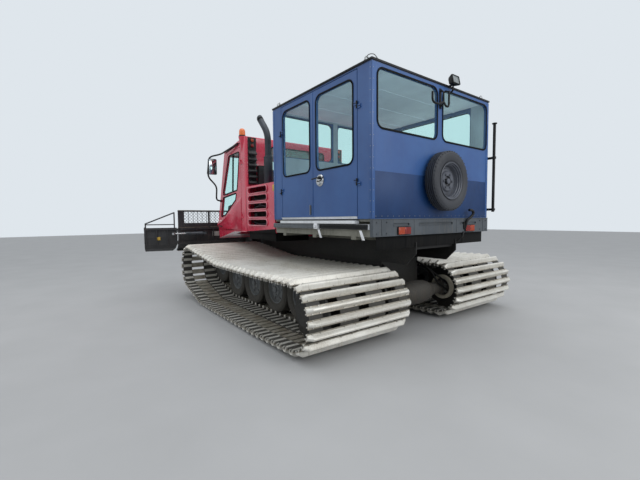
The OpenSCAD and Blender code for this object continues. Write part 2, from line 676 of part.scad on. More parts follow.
module cabin_glass() {
    color(glass_tint) {
        along_y(-cabin_half + 14, -cabin_half + 14 + glass_t)
            polygon(pane([at(right_win_x[0]), at(right_win_x[1])], right_win_z));
        for (x = [14, cabin_l - 14 - glass_t])
            along_x(at(x), at(x) + glass_t) for (w = rear_wins) polygon(pane(w, rear_win_z));
    }
}
hinge_out = 14;
hinge_r = 9;
hinge_pin = 5;
knuckle_h = 42;
knuckle_gap = 2;
plate_l = 55;
// One half of a hinge: a knuckle on the hinge line and its plate, which lies on the panel at side
module knuckle(hinge_x, half, side) {
    translate([hinge_x, half + hinge_out, 0]) cylinder(r = hinge_r, h = knuckle_h);
    box(min(hinge_x, hinge_x + side * plate_l), max(hinge_x, hinge_x + side * plate_l), half - 1, half + hinge_out - 2, 0, knuckle_h);
}
// The fixed halves of a door's hinges, with their pins
module hinge_posts(hinge_x, half, heights, side) {
    for (z = heights) translate([0, 0, z]) {
        knuckle(hinge_x, half, side);
        translate([hinge_x, half + hinge_out, 0]) cylinder(r = hinge_pin, h = 2 * knuckle_h + knuckle_gap);
    }
}
// A door leaf: an outline in x and z, with its windows, and knuckles on the hinge line
module leaf(outline, windows, half, hinge_x, heights, inward) {
    difference() {
        union() {
            along_y(half - wall_t, half) framed(outline, windows);
            for (z = heights) translate([0, 0, z + knuckle_h + knuckle_gap]) knuckle(hinge_x, half, inward);
        }
        for (z = heights) translate([hinge_x, half + hinge_out, z]) cylinder(r = hinge_pin + pin_gap, h = 3 * knuckle_h);
    }
}
cabin_hinges = [cabin_z + 0.22 * cabin_h, cabin_z + 0.72 * cabin_h];
cab_hinges = [1560, 2600];
module front_leaf() {
    color(blue) leaf(rectangle(at(leaf_front_x[0]), at(leaf_front_x[1]), leaf_z[0], leaf_z[1]),
                     [window([at(front_win_x[0]), at(front_win_x[1])], win_z)],
                     cabin_half, at(door_front), cabin_hinges, -1);
}
module rear_leaf() {
    color(blue) leaf(rectangle(at(leaf_rear_x[0]), at(leaf_rear_x[1]), leaf_z[0], leaf_z[1]),
                     [window([at(back_win_x[0]), at(back_win_x[1])], win_z)],
                     cabin_half, at(door_rear), cabin_hinges, 1);
}
module leaf_pane(x) {
    color(glass_tint) along_y(cabin_half - 20, cabin_half - 20 + glass_t) polygon(pane([at(x[0]), at(x[1])], win_z));
}
module front_leaf_glass() { leaf_pane(front_win_x); }
module rear_leaf_glass() { leaf_pane(back_win_x); }

module cab_door() {
    color(red) leaf(door_leaf, [door_upper, door_lower], cab_half, at(door_c0), cab_hinges, 1);
}
module cab_door_glass() {
    color(glass_tint) along_y(cab_half - 20, cab_half - 20 + glass_t) {
        polygon(inset(door_upper, seat_gap));
        polygon(inset(door_lower, seat_gap));
    }
}
module cab_door_left() { cab_door(); }
module cab_door_left_glass() { cab_door_glass(); }
module cab_door_right() { mirror([0, 1, 0]) cab_door(); }
module cab_door_right_glass() { mirror([0, 1, 0]) cab_door_glass(); }

spare_place = [-30, 2010];
spare_rim_r = 240;
module spare_tyre() {
    color(dark) translate([at(-spare_gap - spare_w / 2), spare_place[0], spare_place[1]]) rotate([0, 0, 90])
        tyre_shape(spare_d / 2, spare_w, spare_rim_r + seat_gap);
}
module spare_rim() {
    color(grey) translate([at(-spare_gap - spare_w / 2), spare_place[0], spare_place[1]]) rotate([0, 90, 0]) {
        rotate_extrude() polygon([[spare_rim_r, -72], [spare_rim_r, 72], [spare_rim_r - 14, 72], [spare_rim_r - 30, 24],
                                  [70, 14], [70, 22], [0, 22], [0, 0], [66, 0], [80, 4], [spare_rim_r - 44, 4],
                                  [spare_rim_r - 24, -50], [spare_rim_r - 12, -72]]);
        cylinder(r = 40, h = spare_gap + spare_w / 2 - seat_gap);
    }
}
eye_inset = 120;
eye_bore = 20;
eye_t = 12;
module lifting_eyes() {
    color(steel) both_sides() for (c = [eye_inset, cabin_l - eye_inset])
        translate([at(c), cabin_half - 40, cabin_top + eye_bore + 14]) rotate([0, 90, 0]) difference() {
            union() {
                translate([0, 0, -eye_t / 2]) cylinder(r = eye_bore + 10, h = eye_t);
                translate([eye_bore + 4, -22, -eye_t / 2]) cube([10 - seat_gap, 44, eye_t]);
            }
            translate([0, 0, -eye_t]) cylinder(r = eye_bore, h = 2 * eye_t);
        }
}
pole_c = -50;
pole_out = 100;
module rear_fittings() {
    color(dark) {
        // Work lamp on the roof's rear edge
        translate([at(-60), -220, cabin_top]) {
            rotate([0, 12, 0]) box(-45, 30, -85, 85, -10, 115);
            box(-20, 90, -20, 20, seat_gap, 10);
        }
        // Pole at the right rear corner, on two brackets
        bar_between([at(pole_c), -cabin_half - pole_out, cabin_z + 90], [at(pole_c), -cabin_half - pole_out, cabin_top - 330], 22);
        for (z = [cabin_z + 110, cabin_z + 900]) {
            box(at(pole_c) - 15, at(pole_c) + 110, -cabin_half - pole_out - 15, -cabin_half - pole_out + 15, z, z + 35);
            box(at(pole_c) + 85, at(pole_c) + 110, -cabin_half - pole_out - 15, -cabin_half - seat_gap, z, z + 35);
        }
    }
}

// Blade and its linkage

ear_t = 20;
lift_cyl_y = 150;
// Lift cylinders: base pin on the frame rails and eye on the lift frame, in x and z
lift_a = [3840, 1100];
lift_b = [4600, 900];
// Angle cylinders: base pin on the lift frame and eye on the swivel, in x and y
angle_a = [4690, 330];
angle_b = [board_x - 110, 330];
angle_z = 880;
// Tilt cylinder: base pin on the swivel and eye on the blade, in y and z
tilt_a = [-350, 1240];
tilt_b = [250, 1240];
tilt_x = board_x - 122;
// Wing cylinders: base pin on the blade and eye on the unfolded wing, in x and y
wing_a = [board_x - 140, blade_half - 550];
wing_b_straight = [board_x - 178, blade_half + 95];
wing_z = 1240;
wing_b = wing_hinge + turned(wing_b_straight - wing_hinge, -wing_fold);
function turned(v, a) = [v.x * cos(a) - v.y * sin(a), v.x * sin(a) + v.y * cos(a)];

// A barrel along +x from its base eye, whose bore lies along z
module barrel(l, r, rod, pin, thick) {
    neck = pin + 38;
    difference() {
        union() {
            translate([neck, 0, 0]) rotate([0, 90, 0]) cylinder(r = r, h = l - neck);
            rotate([0, 90, 0]) cylinder(r = thick / 2 - 1, h = neck + 2);
            translate([0, 0, -thick / 2]) cylinder(r = pin + 18, h = thick);
        }
        translate([neck - 4, 0, 0]) rotate([0, 90, 0]) cylinder(r = rod + pin_gap, h = l);
        translate([0, 0, -thick]) cylinder(r = pin + pin_gap, h = 2 * thick);
    }
}
// A rod along -x from its eye, which leaves play round its pin
module rod(l, r, pin, play, thick) {
    difference() {
        union() {
            translate([-l, 0, 0]) rotate([0, 90, 0]) cylinder(r = r, h = l - pin - play);
            translate([0, 0, -thick / 2]) cylinder(r = pin + play + 16, h = thick);
        }
        translate([0, 0, -thick]) cylinder(r = pin + play, h = 2 * thick);
    }
}
// Places a cylinder's parts in the plane of x and z, from a to b
module in_side_plane(p, toward, y) {
    d = toward - p;
    translate([at(p.x), y, p.y]) rotate([0, -atan2(d.y, d.x), 0]) rotate([90, 0, 0]) children();
}
// Places a cylinder's parts in a level plane
module in_level_plane(p, toward, z) {
    d = toward - p;
    translate([at(p.x), p.y, z]) rotate([0, 0, atan2(d.y, d.x)]) children();
}
module lift_barrels() { color(grey) both_sides() in_side_plane(lift_a, lift_b, lift_cyl_y) barrel(560, 45, 22, 25, 50); }
module lift_rods() {
    color(steel) both_sides() in_side_plane(lift_b, 2 * lift_b - lift_a, lift_cyl_y) rod(620, 22, 20, 18, 52);
}
module angle_barrel() { in_level_plane(angle_a, angle_b, angle_z) barrel(330, 32, 18, 16, 48); }
module angle_rod() { in_level_plane(angle_b, 2 * angle_b - angle_a, angle_z) rod(330, 18, 16, 7, 44); }
module angle_barrel_left() { color(grey) angle_barrel(); }
module angle_barrel_right() { color(grey) mirror([0, 1, 0]) angle_barrel(); }
module angle_rod_left() { color(steel) angle_rod(); }
module angle_rod_right() { color(steel) mirror([0, 1, 0]) angle_rod(); }
module tilt_frame(p) {
    translate([at(tilt_x), p.x, p.y]) rotate([0, 0, 90]) rotate([90, 0, 0]) children();
}
module tilt_barrel() { color(grey) tilt_frame(tilt_a) barrel(420, 27, 14, 14, 40); }
module tilt_rod() { color(steel) tilt_frame(tilt_b) rod(260, 14, 14, 5, 36); }
module wing_barrel() { in_level_plane(wing_a, wing_b, wing_z) barrel(430, 30, 16, 16, 44); }
module wing_rod() { in_level_plane(wing_b, 2 * wing_b - wing_a, wing_z) rod(400, 16, 16, 8, 40); }
module wing_barrel_left() { color(grey) wing_barrel(); }
module wing_barrel_right() { color(grey) mirror([0, 1, 0]) wing_barrel(); }
module wing_rod_left() { color(steel) wing_rod(); }
module wing_rod_right() { color(steel) mirror([0, 1, 0]) wing_rod(); }

// A clevis of two level plates and a pin between them, round a point
module level_clevis(p, z, thick, pin, back) {
    translate([at(p.x), p.y, 0]) {
        for (side = [-1, 1])
            translate([0, 0, z + side * (thick / 2 + 10 + seat_gap) - 10]) box(min(back, -pin - 14), max(back, pin + 14), -34, 34, 0, 20);
        translate([0, 0, z - thick / 2 - 10]) cylinder(r = pin, h = thick + 20);
    }
}
module lift_frame() {
    a = [at(lift_x), lift_z];
    b = [at(king_x), king_z];
    color(dark) {
        difference() {
            union() {
                both_sides() {
                    along_y(arm_in, arm_in + arm_t)
                        polygon(rounded([a + [-55, -55], a + [70, -60], [b.x - 60, b.y - 100], [b.x - 60, b.y + 60],
                                         [b.x - 230, b.y + 55], a + [150, 115], a + [-50, 55]], 25, 3));
                    for (y = [lift_cyl_y - ear_t - 27, lift_cyl_y + 27])
                        along_y(y, y + ear_t)
                            polygon(rounded([[at(lift_b.x) - 48, tube_z - 10], [at(lift_b.x) + 48, tube_z - 10],
                                             [at(lift_b.x) + 40, lift_b.y + 38], [at(lift_b.x) - 40, lift_b.y + 38]], 20, 3));
                    translate([at(lift_b.x), lift_cyl_y - 27 - ear_t / 2, lift_b.y]) rotate([-90, 0, 0])
                        cylinder(r = 20, h = 54 + ear_t);
                    level_clevis(angle_a, angle_z, 48, 16, lift_b.x - angle_a.x);
                    box(at(lift_b.x), at(lift_b.x) + 30, angle_a.y - 34, angle_a.y + 34, tube_z, angle_z + 44);
                }
                bar_between([at(lift_b.x), -arm_in, tube_z], [at(lift_b.x), arm_in, tube_z], 45);
                box(b.x - 160, b.x - 60, -arm_in - 2, arm_in + 2, b.y - 90, b.y + 60);
                translate([b.x, 0, b.y - 90]) cylinder(r = 80, h = 180);
            }
            translate([b.x, 0, b.y - 100]) cylinder(r = 45, h = 200);
            both_sides() translate([a.x, arm_in - 5, a.y]) rotate([-90, 0, 0]) cylinder(r = lift_pin + pin_gap, h = arm_t + 10);
        }
    }
}
arm_in = 418;
// Cross tube under the lift rods' eyes
tube_z = lift_b.y - 112;
arm_t = 50;
tilt_pin = 60;
swivel_front = board_x - 60;
module swivel() {
    b = [at(king_x), king_z];
    color(dark) {
        translate([b.x, 0, b.y - 130]) cylinder(r = 45 - pin_gap, h = 260);
        for (z = [b.y - 130, b.y + 100]) box(b.x - 70, at(swivel_front) - 20, -120, 120, z, z + 30);
        difference() {
            box(at(swivel_front) - 30, at(swivel_front), -470, 470, angle_z - 42, b.y + 130);
            // Pockets for the eyes of the angle rods
            both_sides() translate([at(angle_b.x), angle_b.y, angle_z - 22 - seat_gap]) cylinder(r = 45, h = 44 + 2 * seat_gap);
        }
        translate([at(swivel_front) - 1, 0, b.y]) rotate([0, 90, 0]) cylinder(r = tilt_pin, h = 52);
        both_sides() level_clevis(angle_b, angle_z, 44, 16, 40);
        // Base of the tilt cylinder
        box(at(swivel_front) - 30, at(swivel_front), tilt_a.x - 50, tilt_a.x + 50, b.y + 100, tilt_a.y + 50);
        translate([at(tilt_x) - 26, tilt_a.x, tilt_a.y]) rotate([0, 90, 0]) cylinder(r = 14, h = at(swivel_front) - at(tilt_x));
    }
}
// Side view of the board, with its curve from the top lip to the cutting edge
function board_outline() =
    let (x = at(board_x), top = blade_z + blade_h)
    [[x, top], [x - 14, blade_z + blade_h * 0.6], [x, blade_z + 150], [x + 60, blade_z + 60], [x + edge_out - 30, blade_z],
     [x + edge_out, blade_z + 12], [x + 84, blade_z + 78], [x + 26, blade_z + 162], [x + 10, blade_z + blade_h * 0.6],
     [x + 24, top]];
wing_lug_h = 40;
guard_posts = [for (i = [-2:2]) i * blade_half / 3.1];
mesh_bars = 36;
wing_lugs = [blade_z + 150, blade_z + blade_h - 100];
module blade() {
    x = at(board_x);
    top = blade_z + blade_h;
    color(dark) {
        difference() {
            union() {
                along_y(-blade_half, blade_half) polygon(board_outline());
                box(x - 50, x + 2, -blade_half, blade_half, top - 50, top);
                box(x - 50, x - 2, -blade_half, blade_half, blade_z + 150, blade_z + 200);
                box(at(swivel_front) + 10, x + 5, -500, 500, king_z - 120, king_z + 110);
                for (i = [0:10]) {
                    y = -blade_half + 10 + i * (blade_half - 10) / 5;
                    box(x - 50, x + 2, y - 10, y + 10, blade_z + 150, top);
                }
                box(x - 30, x, -blade_half, blade_half, top + guard_h - 30, top + guard_h);
                // Posts, mesh and foot strip of the guard
                for (y = guard_posts) box(x - 24, x - 8, y - 20, y + 20, top - 1, top + guard_h - 29);
                both_sides() box(x - 22, x - 10, blade_half - 130, blade_half, top - 1, top + guard_h - 29);
                for (i = [0:mesh_bars]) {
                    y = -blade_half + 130 + i * (2 * blade_half - 260) / mesh_bars;
                    box(x - 18, x - 14, y - 4, y + 4, top - 1, top + guard_h - 29);
                }
                box(x - 20, x - 12, -blade_half, blade_half, top - 1, top + 100);
                // Eye of the tilt cylinder
                box(at(swivel_front) + 10, x, tilt_b.x - 50, tilt_b.x + 50, king_z + 100, tilt_b.y + 50);
            }
            translate([at(swivel_front), 0, king_z]) rotate([0, 90, 0]) cylinder(r = tilt_pin + pin_gap, h = 53);
            // Notches for the wings' knuckles
            both_sides() for (z = wing_lugs)
                translate([at(wing_hinge.x), wing_hinge.y, z + wing_lug_h]) cylinder(r = 38, h = wing_lug_h + 4);
        }
        translate([at(tilt_x) - 26, tilt_b.x, tilt_b.y]) rotate([0, 90, 0]) cylinder(r = 14, h = at(swivel_front) + 12 - at(tilt_x) + 26);
        both_sides() {
            level_clevis(wing_a, wing_z, 44, 16, board_x - wing_a.x + 2);
            for (z = wing_lugs) {
                translate([at(wing_hinge.x), 0, z]) box(-24, 26, blade_half - 30, wing_hinge.y + 18, 0, wing_lug_h);
                translate([at(wing_hinge.x), wing_hinge.y, z]) cylinder(r = 14, h = 2 * wing_lug_h + 4);
            }
        }
    }
}
// The wing's edge is bevelled, so that it clears the blade when it folds forward by this many degrees more
wing_reach = 17;
module wing() {
    x = at(board_x);
    top = blade_z + blade_h;
    open = wing_reach + wing_fold;
    wing_end = wing_hinge.y + wing_l;
    guard_y = wing_hinge.y + 75;
    guard_r = 14;
    translate([at(wing_hinge.x), wing_hinge.y, 0]) rotate([0, 0, -wing_fold]) translate([-at(wing_hinge.x), -wing_hinge.y, 0])
        difference() {
            union() {
                along_y(blade_half + 24, wing_end - 2) polygon(board_outline());
                box(x - 50, x + 2, blade_half + 40, wing_end, top - 50, top);
                for (i = [1:3]) box(x - 50, x + 2, wing_hinge.y + i * wing_l / 3.2, wing_hinge.y + i * wing_l / 3.2 + 16, blade_z + 150, top);
                // End plate round the board's curve
                along_y(wing_end - 14, wing_end)
                    polygon(rounded([[x - 18, top + 14], [x + 70, top + 14], [x + edge_out, blade_z + 210], [x + edge_out, blade_z + 40],
                                     [x + edge_out - 50, blade_z], [x + 20, blade_z + 70], [x - 18, blade_z + 190]], 18, 3));
                // Tube frame of the guard, which falls towards the wing's end
                bar_between([x - 14, guard_y, top - 2], [x - 14, guard_y, top + guard_h - 40], guard_r);
                bar_between([x - 14, guard_y, top + guard_h - 50], [x - 14, wing_end - 30, top + 90], guard_r);
                bar_between([x - 14, wing_end - 30, top - 2], [x - 14, wing_end - 30, top + 100], guard_r);
                bar_between([x - 14, guard_y, top + 70], [x - 14, wing_end - 30, top + 70], guard_r - 3);
                for (z = wing_lugs)
                    translate([at(wing_hinge.x), wing_hinge.y, z + wing_lug_h + 2]) {
                        cylinder(r = 26, h = wing_lug_h);
                        box(-10, 30, 0, 80, 0, wing_lug_h);
                    }
                level_clevis(wing_b_straight, wing_z, 40, 16, board_x - wing_b_straight.x + 2);
            }
            for (z = wing_lugs)
                translate([at(wing_hinge.x), wing_hinge.y, z]) cylinder(r = 14 + pin_gap, h = 3 * wing_lug_h);
            // Notches for the blade's lugs
            for (z = wing_lugs)
                translate([at(wing_hinge.x), wing_hinge.y, z - 5]) cylinder(r = 38, h = wing_lug_h + 6);
            translate([at(wing_hinge.x), wing_hinge.y, 0]) rotate([0, 0, open]) box(26.5, 600, -600, 8, blade_z - 50, top + 50);
        }
}
module wing_left() { color(dark) wing(); }
module wing_right() { color(dark) mirror([0, 1, 0]) wing(); }

chassis_tub();
frame_rails();
wheel_arms();
rear_axle();
sprockets();
wheel_discs();
road_tyres();
track_left();
track_right();
load_bed();
rear_bumper();
side_steps();
tail_lamps();
engine_block();
engine_panels();
exhaust();
cab_shell();
cab_glass();
seats();
cab_console();
cab_louvres();
beacon();
mirrors();
cabin_walls();
cabin_roof();
cabin_glass();
spare_tyre();
spare_rim();
rear_fittings();
lifting_eyes();
cab_door_left();
cab_door_left_glass();
cab_door_right();
cab_door_right_glass();
front_leaf();
front_leaf_glass();
rear_leaf();
rear_leaf_glass();
lift_frame();
swivel();
blade();
wing_left();
wing_right();
lift_barrels();
lift_rods();
angle_barrel_left();
angle_rod_left();
wing_barrel_left();
wing_rod_left();
angle_barrel_right();
angle_rod_right();
wing_barrel_right();
wing_rod_right();
tilt_barrel();
tilt_rod();
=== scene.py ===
import math
import random

import bmesh
import bpy
from mathutils import Matrix, Vector


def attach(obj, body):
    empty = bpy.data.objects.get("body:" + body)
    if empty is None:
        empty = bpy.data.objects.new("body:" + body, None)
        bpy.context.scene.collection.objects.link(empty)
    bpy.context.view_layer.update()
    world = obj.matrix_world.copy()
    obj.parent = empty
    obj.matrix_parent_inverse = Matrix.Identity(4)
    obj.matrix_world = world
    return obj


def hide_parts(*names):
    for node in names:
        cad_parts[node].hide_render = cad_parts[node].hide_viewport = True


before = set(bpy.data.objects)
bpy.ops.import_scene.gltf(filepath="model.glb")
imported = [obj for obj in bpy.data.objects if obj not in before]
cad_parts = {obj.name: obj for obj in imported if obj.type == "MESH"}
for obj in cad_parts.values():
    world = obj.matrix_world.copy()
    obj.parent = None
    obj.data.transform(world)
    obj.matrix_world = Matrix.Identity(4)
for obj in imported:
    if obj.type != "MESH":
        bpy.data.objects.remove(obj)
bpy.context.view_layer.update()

print("stage: frame loaded")

# Distances ahead of the passenger cabin's rear wall become x in the frame
rearX = -2.72928
# The sign of y on each side, and the word in its names
bothSides = {1: "left", -1: "right"}
rng = random.Random(41)


def at(ahead, y, z):
    return Vector((rearX + ahead, y, z))


def toLinear(code):
    channels = [int(code[i:i + 2], 16) / 255 for i in (0, 2, 4)]
    return [c / 12.92 if c <= 0.04045 else ((c + 0.055) / 1.055) ** 2.4 for c in channels] + [1.0]


# Adds a node, its settings and its links: a socket as value is a link
def addNode(tree, kind, settings=None):
    node = tree.nodes.new(kind)
    for key, value in (settings or {}).items():
        if isinstance(value, bpy.types.NodeSocket):
            tree.links.new(value, node.inputs[key])
        elif isinstance(key, str) and hasattr(node, key):
            setattr(node, key, value)
        else:
            node.inputs[key].default_value = value
    return node


def newMaterial(name):
    material = bpy.data.materials.new(name)
    material.use_nodes = True
    material.node_tree.nodes.clear()
    return material, material.node_tree


# Camera at the photograph's place, in metres and radians
view = {"place": at(-2.765, 4.03, 1.536), "yaw": -0.641, "pitch": -0.061, "roll": -0.009, "lens": 19.5}


def makeCamera():
    data = bpy.data.cameras.new("view")
    data.lens = view["lens"]
    data.sensor_width = 36
    data.clip_start = 0.05
    data.clip_end = 200
    camera = bpy.data.objects.new("view", data)
    bpy.context.scene.collection.objects.link(camera)
    ahead = Vector((math.cos(view["yaw"]) * math.cos(view["pitch"]),
                    math.sin(view["yaw"]) * math.cos(view["pitch"]), math.sin(view["pitch"])))
    right = ahead.cross(Vector((0, 0, 1))).normalized()
    up = right.cross(ahead)
    facing = Matrix((right, up, -ahead)).transposed().to_4x4()
    camera.matrix_world = Matrix.Translation(view["place"]) @ facing @ Matrix.Rotation(view["roll"], 4, "Z")
    bpy.context.scene.camera = camera


# Worn surfaces: two tones in patches, run-off streaks, chips, and dust that thickens towards the ground;
# where asked, also painted shade in hollows and a painted glow
def makeSurface(name, spec):
    material, tree = newMaterial(name)
    place = addNode(tree, "ShaderNodeTexCoord").outputs["Object"]
    noises = {}
    for key, size, stretch in (("patch", spec.get("patch", 0.35), 1), ("fine", spec.get("fine", 0.012), 1),
                               ("streak", spec.get("streak", 0.03), 12), ("chip", spec.get("chip", 0.02), 1)):
        spot = addNode(tree, "ShaderNodeMapping",
                       {"Vector": place, "Scale": [1 / size, 1 / size, 1 / size / stretch]})
        noises[key] = addNode(tree, "ShaderNodeTexNoise",
                              {"Vector": spot.outputs[0], "Scale": 1.0, "Detail": 4.0,
                               "Roughness": 0.6}).outputs["Fac"]
    height = addNode(tree, "ShaderNodeSeparateXYZ", {0: place}).outputs["Z"]
    low, high = spec.get("dusty", (0.2, 1.4))
    ramps = {}
    for key, source, start, end in (("patch", noises["patch"], 0.35, 0.7),
                                    ("grime", noises["streak"], 0.48, 0.76),
                                    ("wet", noises["patch"], 0.3, 0.62),
                                    ("grain", noises["fine"], 0.38, 0.68), ("low", height, high, low),
                                    ("chip", noises["chip"], 0.66, 0.7)):
        ramps[key] = addNode(tree, "ShaderNodeMapRange", {0: source, 1: start, 2: end}).outputs[0]
    products = {}
    for key, a, b, share in (("grime", ramps["grime"], ramps["wet"], spec.get("grime", 0.4)),
                             ("dust", ramps["low"], ramps["grain"], spec.get("dust", 0.3)),
                             ("chip", ramps["chip"], ramps["wet"], spec.get("chips", 0.15))):
        both = addNode(tree, "ShaderNodeMath", {"operation": "MULTIPLY", 0: a, 1: b}).outputs[0]
        products[key] = addNode(tree, "ShaderNodeMath",
                                {"operation": "MULTIPLY", 0: both, 1: share}).outputs[0]
    tone = toLinear(spec["colour"])
    for factor, colour in ((ramps["patch"], spec["second"]), (products["grime"], spec.get("dirt", "5a5248")),
                           (products["dust"], spec.get("dustColour", "8d8778")),
                           (products["chip"], spec.get("chipColour", "3a3836"))):
        tone = addNode(tree, "ShaderNodeMix",
                       {"data_type": "RGBA", 0: factor, 6: tone, 7: toLinear(colour)}).outputs[2]
    if "hollowShade" in spec:
        # Painted shade: a dark brown tone where ambient occlusion finds the surface hemmed in, in hollows and
        # between parts
        openSky = addNode(tree, "ShaderNodeAmbientOcclusion", {"Distance": 0.05}).outputs["AO"]
        shaded = addNode(tree, "ShaderNodeMapRange",
                         {0: openSky, 1: 0.85, 2: 0.35, 4: spec["hollowShade"]}).outputs[0]
        tone = addNode(tree, "ShaderNodeMix",
                       {"data_type": "RGBA", 0: shaded, 6: tone, 7: toLinear("26231f")}).outputs[2]
    rough = addNode(tree, "ShaderNodeMath", {"operation": "MULTIPLY_ADD", 0: noises["patch"], 1: 0.25,
                                             2: spec["rough"] - 0.12}).outputs[0]
    rough = addNode(tree, "ShaderNodeMath",
                    {"operation": "MULTIPLY_ADD", 0: products["dust"], 1: 0.4, 2: rough}).outputs[0]
    relief = addNode(tree, "ShaderNodeMath", {"operation": "MULTIPLY_ADD", 0: noises["streak"], 1: 0.5,
                                              2: noises["fine"]}).outputs[0]
    bump = addNode(tree, "ShaderNodeBump",
                   {"Strength": spec.get("bump", 0.25), "Distance": spec.get("depth", 0.001),
                    "Height": relief}).outputs[0]
    # The emission below is a painted glow: it brightens surfaces that are no lamps, such as the cabin's
    # ceiling and lining
    shader = addNode(tree, "ShaderNodeBsdfPrincipled",
                     {"Base Color": tone, "Roughness": rough, "Normal": bump,
                      "Metallic": spec.get("metal", 0.0), "Emission Color": tone,
                      "Emission Strength": spec.get("glow", 0.0),
                      "Specular IOR Level": spec.get("shine", 0.5), "Coat Weight": spec.get("coat", 0.0),
                      "Coat Roughness": 0.12})
    addNode(tree, "ShaderNodeOutputMaterial", {"Surface": shader.outputs[0]})
    return material


